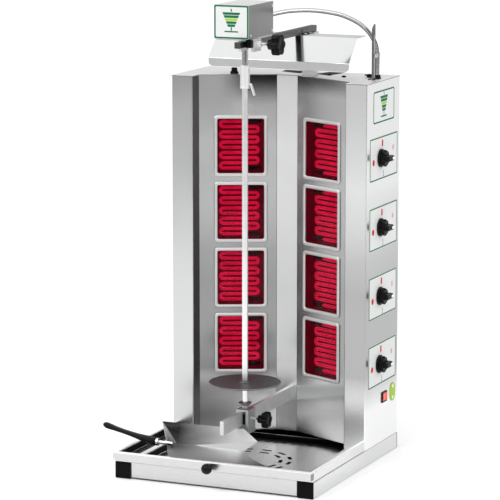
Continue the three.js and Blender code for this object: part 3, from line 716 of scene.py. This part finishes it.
# Dark films on the columns' inner return faces: painted shade in the step.
strips = bmesh.new()
for label, sign in SIDES:
    stand_in(f"side_panel_{label}", side_panel(sign), COLUMN_PAINTED_SHADING[label])
    slab(*sorted((sign * INNER, sign * (INNER - 0.6))), FRONT + 3, RECESS - 1, CABINET_LOW + 1,
         CABINET_TOP - 0.5, 0, strips)
piece("column_return_painted_shade", strips, "root", return_painted_shade)
refined("rear_panel", steel_up, 0.3, 1)
# The cover's edge faces get the dark steel: a painted shadow line along its edges.
repaint(refined("top_cover", steel_top, 0.25, 1), (dark_steel_and_edge_shade, lambda at, normal: abs(normal.z) < 0.3))
# Dark films on the cover on both sides of the post, under the hood lip: painted shade.
bm = None
for outline in ([(-45, 262), (-40, 226), (17, 204), (17, 262)], [(56, 207), (100, 188), (114, 262), (72, 262)]):
    bm = prism(outline, "z", COVER_TOP + 0.05, COVER_TOP + 0.2, 0, bm)
piece("cover_painted_shade", bm, "root", painted_shade_black)
refined("centre_strip", strip_painted_shading, 0.3, 1)

# ---- heater banks ---------------------------------------------------------------------------
BANK_ANGLE = math.atan2(box_mm("centre_strip")[0].y - RECESS, INNER - box_mm("centre_strip")[1].x)
WINDOW_HEIGHT = 136
BEZEL = (132, 152, 10)
TUBE_RUNS = 10
TUBE_PITCH = WINDOW_HEIGHT / (TUBE_RUNS + 0.6)
TUBE_DEPTH = 22
TUBE_SPAN = 92.5
TUBE_SHIFT = 3.3
SHORT_RUN = 14


def window_place(label, sign, index):
    """From a window's own axes (x across, y into the panel, z up) to the object's."""
    return (Matrix.Translation(middle(f"bezel_{label}_{index}")) @ Matrix.Rotation(-sign * BANK_ANGLE, 4, "Z")
            @ Matrix.Translation((0, 2, 0)))


def bezel(label, sign, index):
    """Pressed and polished frame, crowned across its width."""
    crown = ((0, 0), (0.1, -1.4), (0.9, -2.7), (2.4, -3.7), (4.2, -4.0), (6.6, -4.0), (8.2, -3.2), (9, -1.6),
             (9, 0))
    width, height, radius = BEZEL
    levels = [(rounded_rect(width - 2 * inset, height - 2 * inset, radius - inset * 6 / 9, 8), depth)
              for inset, depth in crown]
    bm = raised(AXES["y"], levels, True, None, window_place(label, sign, index))
    stand_in(f"bezel_{label}_{index}", bm, steel_bezel, 60)


def serpentine(sign):
    """Centre line of the heating tube: short first and last runs, turned back at their ends."""
    bend = TUBE_PITCH / 2
    reach = TUBE_SPAN / 2 - bend
    path = []
    for run in range(TUBE_RUNS):
        start = (1 if run % 2 else -1) * sign
        z = TUBE_PITCH * (TUBE_RUNS - 1) / 2 - run * TUBE_PITCH
        first = SHORT_RUN if run == 0 else reach
        last = SHORT_RUN if run == TUBE_RUNS - 1 else reach
        if run == 0:
            path += [(start * (first + 5), TUBE_DEPTH + 1.5, z), (start * (first + 3.4), TUBE_DEPTH + 0.5, z)]
        path += [(start * first - start * (last + first) * k / 8, TUBE_DEPTH, z) for k in range(9)]
        if run < TUBE_RUNS - 1:
            for angle in (math.pi / 2 - math.pi * k / 10 for k in range(1, 10)):
                path.append((-start * (reach + bend * math.cos(angle)), TUBE_DEPTH,
                             z - bend + bend * math.sin(angle)))
        else:
            path += [(-start * (last + 3.4), TUBE_DEPTH + 0.5, z), (-start * (last + 5), TUBE_DEPTH + 1.5, z)]
    return path


def heating_tube(label, sign, index):
    place = window_place(label, sign, index) @ Matrix.Translation((sign * TUBE_SHIFT, 0, 0))
    bm = sweep([place @ Vector(point) for point in serpentine(sign)], lambda i: 4.1)
    stand_in(f"heating_tube_{label}_{index}", bm, tube_glow, 60).visible_glossy = False
    bm = None
    for _, height in SIDES:
        outline = rounded_rect(40, 10, 2.5, 4, (-sign * 33, height * TUBE_PITCH * (TUBE_RUNS - 1) / 2))
        bm = prism(outline, "y", TUBE_DEPTH - 2, TUBE_DEPTH + 4.4, 0.8, bm, place)
    piece(f"terminal_{label}_{index}", bm, "root", ceramic)


for label, sign in SIDES:
    refined(f"heater_panel_{label}", PANEL_PAINTED_SHADING[label], 0.25, 1)
    refined(f"glass_{label}", glass, 0.3, 1)
    finish_node(f"reflector_{label}", reflector_painted_glow)
    for index in range(1, 5):
        bezel(label, sign, index)
        heating_tube(label, sign, index)

# ---- overhead: bar, hood, conduit -----------------------------------------------------------
refined("upper_bar", steel_bar_painted_shade, 1.0, 3)
refined("upper_bar_post", steel_up, 1.0)
refined("hood_bracket", steel_up, 0.3, 1)
hood_low, hood_high = box_mm("heat_hood")


def heat_hood():
    """Folded deflector: a lip with rounded corners, a sloping plate and a flat top flange."""
    ridge = hood_high.z - 0.02
    corner = 11
    foot = [(hood_low.y, hood_low.z + corner * (1 - math.cos(math.pi * k / 16))) for k in range(9)]
    bends = fillet([foot[-1], (hood_low.y, hood_low.z + 20), (hood_low.y + 51, ridge), (hood_high.y, ridge)],
                   1.3)
    path = [Vector(p) for p in foot[:-1] + bends]
    rings = []
    for i, point in enumerate(path):
        along = path[min(i + 1, len(path) - 1)] - path[max(i - 1, 0)]
        inner = point - Vector((-along.y, along.x)).normalized() * SHEET
        short = max(corner - (point.y - hood_low.z), 0)
        half = hood_high.x - corner + math.sqrt(max(corner ** 2 - short ** 2, 0))
        rings.append([(-half, *point), (half, *point), (half, *inner), (-half, *inner)])
    bm = loft(bmesh.new(), rings)
    soften(bm, 0.3, 1, 60)
    # One sheet in three copies of its steel: the lip is a lighter copy, painted light, and the top flange a
    # darker one, painted shade.
    repaint(stand_in("heat_hood", bm, steel_hood, 30),
            (lip_painted_light, lambda at, normal: at.z < hood_low.z + 19.5),
            (flange_painted_shade, lambda at, normal: at.z > ridge - 2.5))


heat_hood()
bar_low, bar_high = box_mm("upper_bar")
for i, (x, y) in enumerate(((17, 176), (17, 205), (43, 176), (43, 205))):
    hex_bolt(f"hood_bolt_{i + 1}", (x, y, hood_high.z), 1, 4.2)
slabs("hood_bolt_plate", "root", fitting, (10, 50, 166, 216, hood_high.z + 0.05, hood_high.z + 1.2, 0.3))
slabs("bar_saddle", "root", steel_bar_painted_shade, *((x, x + 1.1, 168, 214, bar_low.z, bar_high.z - 3, 0.3)
                                         for x in (bar_low.x - 1.2, bar_high.x + 0.1)))
# A black film under the bar: painted shade on its underside.
slabs("bar_underside_painted_shade", "root", black,
      (bar_low.x + 1, bar_high.x - 1, -116, 156, bar_low.z - 0.9, bar_low.z - 0.05, 0.2))

ROUTE = [
    (22, -27.2, 1089), (38, -12, 1094), (68, 17, 1100), (104, 52, 1100), (134, 82, 1095), (165, 112, 1085),
    (195, 142, 1065), (214, 160, 1042), (226, 172, 1015), (230, 176, 987), (230, 176, 959), (230, 176, 931),
]
RIB = 2.6


def conduit():
    """Flexible metal conduit: fine ribs on a smooth route from the motor box down to the top cover."""
    line = catmull(ROUTE, 24)
    spaced = [line[0]]
    step = RIB / 4
    walked = 0.0
    for a, b in zip(line, line[1:]):
        length = (b - a).length
        while walked + length >= step:
            a = a.lerp(b, (step - walked) / length)
            length = (b - a).length
            walked = 0.0
            spaced.append(a)
        walked += length
    rise = (0, 0.088, 0.12, 0.088)
    bm = sweep(spaced, lambda i: 5.15 + rise[i % 4], 18)
    tube = piece("conduit_fine", bm, None, hose_painted_highlight, 70, None, ("conduit",))
    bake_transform(tube)


conduit()
bm = lathe([(5.9, 0), (10.5, 0), (10.5, 6), (8.4, 7), (8, 11), (5.9, 11), (5.9, 0)], "y",
           (22, -27.4, 1089), 6, 0.5)
piece("conduit_nut", bm, "motor_carriage", fitting)
bm = lathe([(5.9, 0.1), (9.5, 0.1), (9.5, 3), (8.4, 4), (8, 8), (7, 9), (5.9, 9), (5.9, 0.1)], "z",
           (*ROUTE[-1][:2], COVER_TOP), 40, 0.6)
piece("conduit_gland", bm, "root", black)


def conduit_stake():
    low, high = box_mm("conduit_stake")
    outline = [(low.y, low.z), (high.y - 2, low.z), (high.y - 2, high.z), (low.y, high.z - 12)]
    bm = prism(fillet(outline, 2.5, 4, True), "x", low.x, high.x, 0.4)
    slab(low.x - 10, high.x, low.y, high.y, low.z, low.z + 2.5, 0.5, bm)
    stand_in("conduit_stake", bm, dark_steel_and_edge_shade)
    y = (low.y + high.y) / 2
    # A light strip down the stake's face: painted highlight.
    slabs("conduit_stake_painted_highlight", "root", satin,
          (high.x + 0.05, high.x + 0.3, y - 2, y + 2, low.z + 6, high.z - 30, 0.1))
    *centre, z = ROUTE[9]
    bore, rim = circle(5.7, 28, centre), circle(6.9, 28, centre)
    bm = ring_frame(rim, bore, AXES["z"], z - 5, z + 5)
    slab(233.2, 234.6, 148, 174, z - 5, z + 5, 0.3, bm)
    piece("conduit_clip", bm, "root", fitting)
    dome_screw("conduit_clip_screw", (234.6, 152, z), "x", 3)


conduit_stake()

for i, (x, y) in enumerate(((98, 196), (145, 173))):
    dome_screw(f"top_screw_{i + 1}", (x, y, COVER_TOP), "z", 5.5, material=black, height=4)
bm = lathe([(0, 0.1), (11, 0.1), (11, 5), (8, 6.5), (8, 13), (6.5, 15), (0, 15)], "z",
           (-128, 136, COVER_TOP), 6, 0.6)
piece("top_plug_left", bm, "root", black)
bm = lathe([(0, 0.1), (7, 0.1), (7, 3), (4, 4), (4, 8), (0, 8.6)], "z", (204, 192, COVER_TOP), 32, 0.6)
prism(rounded_rect(24, 6, 2.9, 5, (204, 192)), "z", COVER_TOP + 3.6, COVER_TOP + 7, 0.8, bm)
piece("top_wing_nut", bm, "root", black)

# ---- motor carriage -------------------------------------------------------------------------
box_low, box_high = box_mm("motor_cover")
box_centre = ((box_low.x + box_high.x) / 2, (box_low.z + box_high.z) / 2)
# The motor box's top faces get a lighter copy, painted light; its sides, front plate and flanges a darker copy,
# painted shade.
repaint(refined("motor_cover", motor_painted_shade, 1.1, 3), (steel_motor_top_painted_light, lambda at, normal: normal.z > 0.7))
face = rounded_rect(box_high.x - box_low.x + 1.0, box_high.z - box_low.z + 0.4, 2.2, 4, box_centre)
bm = prism(face, "y", box_low.y - 1.4, box_low.y - 0.05, 0.5)
piece("motor_front_plate", bm, "motor_carriage", motor_painted_shade)
slabs("motor_side_flanges", "motor_carriage", motor_painted_shade,
      *((x, x + 0.55, box_low.y, box_low.y + 13, box_low.z + 0.4, box_high.z - 1, 0.2)
        for x in (box_low.x - 0.6, box_high.x + 0.05)))
finish_node("gearmotor", motor_paint)
refined("upper_clamp", satin, 0.7)
slabs("upper_clamp_pad", "motor_carriage", black, (37.8, 52, box_low.y, box_low.y + 8.6, 1029, 1048, 0.8))
for i, (y, z) in enumerate(((-35, 1116), (-35, 1058), (-160, 1056))):
    dome_screw(f"motor_screw_{i + 1}", (box_high.x, y, z), "x", 3.6, "motor_carriage")
    dome_screw(f"motor_screw_{i + 4}", (box_low.x, y, z), "-x", 3.6, "motor_carriage")
hex_bolt("motor_foot_bolt", (-27, -160, box_low.z), -1, 3.4, "motor_carriage")


def scalloped(radius, lobes, depth, steps=72):
    """A round outline with finger hollows."""
    line = []
    for angle in (2 * math.pi * k / steps for k in range(steps)):
        wave = 0.5 + 0.5 * math.cos(lobes * angle)
        r = radius * (1 - depth * (1 - wave ** 0.6))
        line.append((r * math.cos(angle), r * math.sin(angle)))
    return line


def star_knob(node, body, screw, hub, head, radii):
    """Star grip with six rounded lobes on a threaded stud."""
    _, high = box_mm(node)
    _, y, z = middle(node)
    screw_radius, hub_radius, head_radius = radii
    rings = []
    for x, share, depth in ((head, 0.55, 0.2), (head, 0.9, 0.9), (head + 1.2, 0.97, 1.0), (head + 4, 1.0, 1.0),
                            (high.x - 4, 1.0, 1.0), (high.x - 1.4, 0.965, 1.0), (high.x - 0.3, 0.9, 0.9),
                            (high.x, 0.8, 0.6), (high.x, 0.42, 0.0), (high.x - 1.4, 0.36, 0.0),
                            (high.x - 1.4, 0.05, 0.0)):
        rings.append([(x, y + u, z + v) for u, v in scalloped(head_radius * share, 6, 0.26 * depth, 96)])
    bm = loft(bmesh.new(), rings)
    lathe([(0, hub), (hub_radius, hub), (hub_radius * 1.12, head + 0.5), (0, head + 0.5)], "x", (0, y, z), 36,
          0.8, bm)
    stand_in(node, bm, black, 50)
    thread = []
    x = screw
    while x < hub - 1:
        thread += [(screw_radius - 0.45, x), (screw_radius, x + 0.6)]
        x += 1.25
    bm = lathe([(0, screw), *thread, (screw_radius - 0.45, hub + 1), (0, hub + 1)], "x", (0, y, z), 24, 0)
    piece(f"{node}_stud", bm, body, fitting, 60)


star_knob("upper_clamp_knob", "upper_knob", 37.9, 83, 95, (4, 12, 26.2))
star_knob("lower_clamp_knob", "lower_knob", 7.4, 40, 52, (3, 9.5, 20.7))

# ---- shaft, sleeve, spit, foot bearing ------------------------------------------------------
SPIT = (*middle("spit_rod").xy, 0)
low, high = box_mm("drive_shaft")
bm = lathe([(0, low.z), (7.5, low.z), (7.5, high.z), (0, high.z)], "z", SPIT, 40, 0.8)
stand_in("drive_shaft", bm, fitting, 50)
low, high = box_mm("spit_rod")
bm = lathe([(0, low.z), (5, low.z), (5, 168.5), (6, 169.5), (6, 222), (7, 222), (7, high.z - 4), (5.5, high.z),
            (0, high.z)], "z", SPIT, 48, 0.7)
stand_in("spit_rod", bm, steel_rod, 50)
low, high = box_mm("meat_plate")
rim = high.x - SPIT[0]
bm = lathe([(6.3, low.z), (rim - 1.5, low.z), (rim, low.z + 1), (rim, low.z + 2.6), (rim - 2.2, low.z + 2.6),
            (rim - 4, low.z + 1.7), (18, low.z + 1.9), (15, low.z + 3), (13.5, high.z), (6.3, high.z),
            (6.3, low.z)],
           "z", SPIT, 96, 0.5)
stand_in("meat_plate", bm, plate_painted_reflection, 50)
# A bright ring on the plate's rim: painted highlight.
bm = lathe([(rim - 1.2, low.z + 2.62), (rim - 0.1, low.z + 2.62), (rim - 0.1, low.z + 2.9),
            (rim - 1.2, low.z + 2.9), (rim - 1.2, low.z + 2.62)], "z", SPIT, 96, 0)
piece("meat_plate_rim_painted_highlight", bm, "spit", polished)


def coupling_sleeve():
    """Release sleeve with a collar at each end and a bent lever."""
    foot, head = 925.0, box_mm("coupling_sleeve")[1].z
    bm = lathe([(7.85, foot), (12, foot), (12, foot + 4), (11.5, foot + 4.6), (11.5, head - 4.6), (12, head - 4),
                (12, head), (7.85, head), (7.85, foot)], "z", SPIT, 48, 0.5)
    half = 3.6
    section = folded([(11.0, foot + 10), (14.4, foot + 8), (18.6, foot - 4), (23.0, foot - 16.5)], 3.4, 5)
    prism([(SPIT[0] + u, v) for u, v in section], "y", SPIT[1] - half, SPIT[1] + half, 0.5, bm)
    stand_in("coupling_sleeve", bm, steel_sleeve, 40)


coupling_sleeve()
refined("lower_bar", satin, 0.9, 3)
refined("lower_clamp", clamp_steel, 0.6)
slabs("lower_clamp_pad", "bearing_carriage", black, (7.4, 14.6, -121, -109, 120, 143, 0.6))

# ---- right side: knobs, plates, switch ------------------------------------------------------

def on_side(u, v, w):
    """Plate axes to the right-hand panel: u back along Y, v up, w out from the panel."""
    return (OUTER + w, u, v)


def plate(name, centre, size, radius, edge):
    """A printed plate with a coloured border line."""
    bm = prism(rounded_rect(*size, radius, 6, centre), "x", OUTER + 0.05, OUTER + 0.45, 0.12)
    piece(name, bm, "root", white_film)
    width, height, radius = size[0] - 2, size[1] - 2, radius - 1
    outer = rounded_rect(width, height, radius, 6, centre)
    inner = rounded_rect(width - 2 * edge, height - 2 * edge, radius - edge * 0.6, 6, centre)
    piece(f"{name}_border", ring_frame(outer, inner, on_side, 0.3, 0.6), "root", green_film)


def marks(name, shapes, material, put=on_side, low=0.4, high=0.62, body="root"):
    """Printed marks: closed outlines raised a hair above their plate."""
    bm = bmesh.new()
    for outline in shapes:
        raised(put, ((outline, low), (outline, high)), False, bm)
    piece(name, bm, body, material)


def selector(index):
    """Black selector: a round skirt, a finger-hollowed collar and a deep bar grip with a white index."""
    node = f"selector_knob_{index}"
    low, high = box_mm(node)
    _, y, z = middle(node)
    centre = y + 23
    plate(f"selector_plate_{index}", (centre, z), (184, 105), 5, 3.0)
    base = low.x
    tip = high.x - base
    bm = lathe([(0, 0), (22.3, 0), (22.3, 3.4), (20.8, 5), (16.4, 5.6), (16.0, 8.4), (0, 8.4)], "x",
               (base, y, z), 48, 0.8)
    collar = ((7.6, 15.6, 0.0), (8.4, 19.4, 0.10), (9.4, 20.2, 0.14), (13.6, 20.2, 0.14), (15.0, 19.2, 0.12),
              (16.0, 16.5, 0.0))
    loft(bm, [[(base + height, y + u, z + v) for u, v in scalloped(radius, 8, depth)]
              for height, radius, depth in collar])
    grip = ((40, 14.0, 6.2, 10), (41.5, 14.0, 6.4, tip - 6), (40.5, 13.0, 6.0, tip - 2.4), (36, 9.6, 4.4, tip))
    raised(AXES["x"], [(rounded_rect(*size, 6, (y, z)), base + depth) for *size, depth in grip], False, bm)
    stand_in(node, bm, black, 40)
    bm = prism(rounded_rect(13, 6.5, 2, 4, (y + 11.5, z)), "x", base + tip - 0.4, base + tip + 0.3, 0.1)
    prism(rounded_rect(3.4, tip - 13, 1.2, 4, (z, base + (tip + 10) / 2)), "y", y + 20.2, y + 21.1, 0.15, bm,
          Matrix(((0, 0, 1, 0), (0, 1, 0, 0), (1, 0, 0, 0), (0, 0, 0, 1))))
    piece(f"{node}_index", bm, BODY_OF[node], mark_white, slot=MOULDED)
    marks(f"selector_marks_{index}",
          [rounded_rect(9, 17, 4, 6, (centre - 10, z + 35)), circle(7.5, 28, (centre - 68, z - 7))], red_film)
    marks(f"selector_faint_{index}", [rounded_rect(9, 13, 4, 6, (centre + 62, z + 16))], pale_red_film)
    marks(f"selector_ticks_{index}",
          [rounded_rect(2.4, 8, 1, 3, (centre - 2, z - 37)), circle(2.2, 16, (centre - 2, z - 45))], green_film)


for index in range(1, 5):
    selector(index)


def cone_icon(put, centre, size, name, body):
    """A neutral pictogram: a stacked cone on an upright spit above a base line."""
    cu, cv = centre
    layers = []
    for k in range(5):
        lower, upper = (0.15 + 0.26 * edge / 5 for edge in (k, k + 1))
        v0, v1 = (cv + size * (-0.2 + 0.62 * edge / 5) for edge in (k, k + 1))
        v1 -= size * 0.022
        layers.append(fillet([(cu - size * lower, v0), (cu + size * lower, v0), (cu + size * upper, v1),
                              (cu - size * upper, v1)], size * 0.02, 3, True))
    rod = [rounded_rect(size * width, size * height, size * radius, 4, (cu, cv + size * rise))
           for width, height, radius, rise in ((0.05, 0.13, 0.02, 0.49), (0.05, 0.16, 0.02, -0.29),
                                               (0.62, 0.055, 0.025, -0.4))]
    for part, shapes, film in (("cone", layers[:2] + layers[3:], green_film), ("band", [layers[2]], lime),
                               ("spit", rod, green_film)):
        marks(f"{name}_{part}", shapes, film, put, 0.4, 0.66, body)


plate("side_badge", (157, 868.5), (140, 79), 7, 3.4)
cone_icon(on_side, (157, 868.5), 62, "side_badge", "root")

label_w, label_h = box_high.x - box_low.x + 0.6, box_high.z - box_low.z


def on_motor(u, v, w):
    """Plate axes to the motor box's front."""
    return (u, box_low.y - 1.4 - w, v)


marks("motor_badge", [rounded_rect(label_w, label_h, 4, 6, box_centre)], white_film, on_motor, 0.05, 0.45,
      "motor_carriage")
bm = ring_frame(rounded_rect(label_w - 1, label_h - 1, 3.6, 6, box_centre),
                rounded_rect(label_w - 8.2, label_h - 8.2, 1.8, 6, box_centre), on_motor, 0.3, 0.62)
piece("motor_badge_border", bm, "motor_carriage", green_film)
cone_icon(on_motor, box_centre, 56, "motor_badge", "motor_carriage")

# rocker switch
low, high = box_mm("rocker_switch")
_, y, z = middle("rocker_switch")
outer = rounded_rect(33, 27, 2.5, 5, (y, z))
inner = rounded_rect(high.y - low.y + 3.6, high.z - low.z + 1.8, 0.8, 5, (y, z))
levels = ((outer, 0.1), (outer, 1.6), (rounded_rect(31.4, 25.4, 2, 5, (y, z)), 2.5), (inner, 2.6), (inner, -6),
          (rounded_rect(28, 22, 1.5, 5, (y, z)), 0.1 - 3), (rounded_rect(28.5, 22.5, 1.5, 5, (y, z)), 0.1))
piece("rocker_bezel", raised(on_side, levels, True), "root", black, 40)
depth = high.x
profile = [(low.y + 1.5, low.x), (high.y - 1.5, low.x), (high.y, depth), (y + 4, depth - 1.3), (y, depth - 1.7),
           (y - 4, depth - 1.3), (low.y, depth)]
swap = Matrix(((0, 1, 0, 0), (1, 0, 0, 0), (0, 0, 1, 0), (0, 0, 0, 1)))
stand_in("rocker_switch", prism(profile, "z", low.z, high.z, 0.9, None, swap), orange, 30)

# oblong plate beside the switch
bm = prism(rounded_rect(33, 46, 16, 8, (231.5, 150)), "x", OUTER + 0.05, OUTER + 1.2, 0.4)
piece("earth_plate", bm, "root", lime)
marks("earth_plate_marks", [circle(4, 24, (231.5, z)) for z in (164, 136)], mark_white, on_side, 1.0, 1.45)

# ---- back -----------------------------------------------------------------------------------
refined("cable_inlet", black)
bm = bmesh.new()
for column in (-1, 1):
    for row in range(10):
        z0 = 560 + row * 30
        arc = [(BACK + 0.1 + 4.2 * math.sin(math.pi * k / 8), z0 + 9 - 9 * math.cos(math.pi * k / 8))
               for k in range(9)]
        prism(arc, "x", column * 110 - 62, column * 110 + 62, 0.8, bm)
piece("rear_louvres", bm, "root", steel_up)
number = 0
for x in (-242, 0, 242):
    for z in (60, 340, 640, 912):
        if x == 0 and z in (340, 640):
            continue
        number += 1
        dome_screw(f"rear_screw_{number}", (x, BACK, z), "y", 4)

# ---- scoop ----------------------------------------------------------------------------------
SCOOP_Z = box_mm("scoop")[0].z
FOLD, LEAN, WALL = -155, 0.244, 50


def quadratic(start, control, end, steps=16):
    """Points of a quadratic curve, without its first."""
    a, b, c = Vector(start), Vector(control), Vector(end)
    turns = [k / steps for k in range(1, steps + 1)]
    return [tuple(a * (1 - t) ** 2 + b * 2 * t * (1 - t) + c * t * t) for t in turns]


def scoop():
    """A flat blade with a hollow-ground mouth, a leaning back wall and a gusset at the handle end."""
    blade = [(-153, FOLD + 1.2), (-167, -178), (-131, -250), (-108, -281), (141, -277)]
    blade += quadratic((141, -277), (62, -222), (27, FOLD + 1.2))
    bm = prism(blade, "z", SCOOP_Z, SCOOP_Z + 1.2, 0.25)
    slab(-190, -146, -199, -187, SCOOP_Z + 6, SCOOP_Z + 10, 0.6, bm)
    slab(-156, -146, -199, -187, SCOOP_Z + 0.3, SCOOP_Z + 10, 0.6, bm)
    stand_in("scoop", bm, blade_painted_shade)
    lean = Matrix.Translation((0, FOLD, SCOOP_Z)) @ Matrix.Rotation(-LEAN, 4, "X")
    wall = [(-153, 0.3), (-112, 0.3), (58, WALL / 2), (20, WALL + 1.7), (-196, WALL)]
    piece("scoop_back_wall", prism(wall, "y", 0, 1.2, 0.2, None, lean), "meat_scoop", wall_painted_shade)
    # A lighter patch lying in the back wall's own plane: painted highlight.
    highlight_patch = [(-111.6, 0.3), (27, 0.3), (57.8, WALL / 2 - 0.3)]
    piece("scoop_back_painted_highlight", prism(highlight_patch, "y", 0, 1.2, 0.2, None, lean), "meat_scoop", steel_across)
    top = Vector((-195.5, FOLD + WALL * math.sin(LEAN) + 0.3, SCOOP_Z + WALL * math.cos(LEAN) - 0.3))
    corners = [Vector((-152, FOLD + 1.2, SCOOP_Z + 0.3)), Vector((-166, -178, SCOOP_Z + 0.3)), top]
    normal = (corners[1] - corners[0]).cross(corners[2] - corners[0]).normalized() * 1.2
    bm = loft(bmesh.new(), [corners, [c - normal for c in corners]])
    piece("scoop_gusset", bm, "meat_scoop", steel_across)


scoop()


def scoop_handle():
    """Moulded grip: rounded sections that rise and thin towards a hooked end."""
    y = middle("scoop_handle").y
    stations = [
        (-186.5, 75.0, 9.0, 7.6), (-188.5, 75.0, 11.2, 9.2), (-196, 75.8, 11.8, 9.4), (-212, 78.4, 11.6, 8.4),
        (-232, 82.4, 10.4, 6.4), (-254, 87.4, 9.4, 5.0), (-276, 92.2, 9.2, 4.6), (-296, 96.8, 9.6, 5.0),
        (-310, 100.2, 10.4, 6.0), (-319, 102.6, 10.4, 6.4), (-324.5, 104.6, 9.2, 4.6), (-325.8, 105.4, 7.6, 3.2),
    ]
    section = [[math.copysign(abs(c) ** 0.75, c) for c in corner] for corner in circle(1, 28)]
    rings = [[(x, y + half_width * u, z + half_height * v) for u, v in section]
             for x, z, half_width, half_height in stations]
    stand_in("scoop_handle", loft(bmesh.new(), rings), grip_black, 60)
    bm = lathe([(0, -186.5), (9.2, -186.5), (9.2, -181), (7, -179.5), (0, -179.5)], "x", (0, y, 74.8), 28, 0.6)
    piece("scoop_ferrule", bm, "meat_scoop", polished)
    bm = sweep([(-184, y, 74.8), (-170, y, 74.6), (-156, y, 74.5), (-144, y, 74.4)], lambda i: 4.2, 16)
    piece("scoop_neck", bm, "meat_scoop", polished)


scoop_handle()

# ---- camera, light and floor ----------------------------------------------------------------
camera_data = bpy.data.cameras.new("camera")
camera_data.sensor_width = 36
camera_data.lens = 203.93
camera_data.clip_end = 100
camera = in_scene("camera", camera_data)
AZIMUTH = math.radians(23.653)
ELEVATION = math.radians(10.029)
DISTANCE = 6.82586
TARGET = Vector((-0.02677, 0, 0.52159))
toward = Vector((math.sin(AZIMUTH) * math.cos(ELEVATION), -math.cos(AZIMUTH) * math.cos(ELEVATION),
                 math.sin(ELEVATION)))
camera.location = TARGET + toward * DISTANCE
camera.rotation_mode = "QUATERNION"
camera.rotation_quaternion = (-toward).to_track_quat("-Z", "Y")
bpy.context.scene.camera = camera
bpy.context.scene.view_settings.view_transform = "Standard"

world = bpy.data.worlds.new("studio")
bpy.context.scene.world = world
world.use_nodes = True
world.cycles.sampling_method = "NONE"
REAR = ((0.0, 0.85), (0.490, 0.85), (0.502, 0.03), (0.59, 0.03), (0.64, 0.9), (0.80, 1.15), (1.0, 1.2))
FRONT = ((0.0, 0.42), (0.490, 0.44), (0.510, 0.70), (0.59, 0.80), (0.64, 0.9), (0.80, 1.15), (1.0, 1.2))
sky = Tree(world.node_tree)
east, north, height = (sky.axis(name, "Generated") for name in "XYZ")
level = sky.ramp(height, 0, 1, -1, 1)
rear, front = (sky.tones(level, [(place, (tone,) * 3) for place, tone in stops]) for stops in (REAR, FRONT))
sides = sky.mix(sky.ramp(north, 0, 1, 0.2, -0.2), rear, front)
corner = sky.combine("MULTIPLY", sky.ramp(east, 0, 1, 0.0, 0.35), sky.ramp(north, 0, 1, 0.0, -0.5))
dim = sky.combine("MULTIPLY", corner, sky.ramp(height, 0, 1, 0.0, -0.02))
shade = sky.mix(dim, sides, (0.10, 0.10, 0.10, 1))
glossy = sky.add("LightPath", {})["Is Glossy Ray"]
sky.links.new(sky.mix(glossy, (1.08, 1.08, 1.08, 1), shade), sky.nodes["Background"].inputs["Color"])

disc = circle(3500, 96)
floor = in_scene("floor", mesh_from("floor", raised(AXES["z"], ((disc, -20), (disc, -0.6)))))
paper = Shader("floor_paper", None, Base_Color=(0.93, 0.93, 0.93, 1), Roughness=0.9, Specular_IOR_Level=0.0)
floor.data.materials.append(paper.material)
floor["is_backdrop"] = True


def softbox(name, place, aim, size, power):
    data = bpy.data.lights.new(name, "AREA")
    data.shape = "RECTANGLE"
    data.size, data.size_y = size
    data.energy = power
    lamp = in_scene(name, data)
    lamp.location = place
    lamp.rotation_mode = "QUATERNION"
    lamp.rotation_quaternion = (Vector(aim) - Vector(place)).to_track_quat("-Z", "Y")


softbox("key", (-1.8, -2.6, 3.2), (0, 0, 0.5), (2.0, 2.0), 60)
softbox("fill", (3.2, -1.2, 2.4), (0, 0, 0.5), (2.2, 2.2), 35)

low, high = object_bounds()
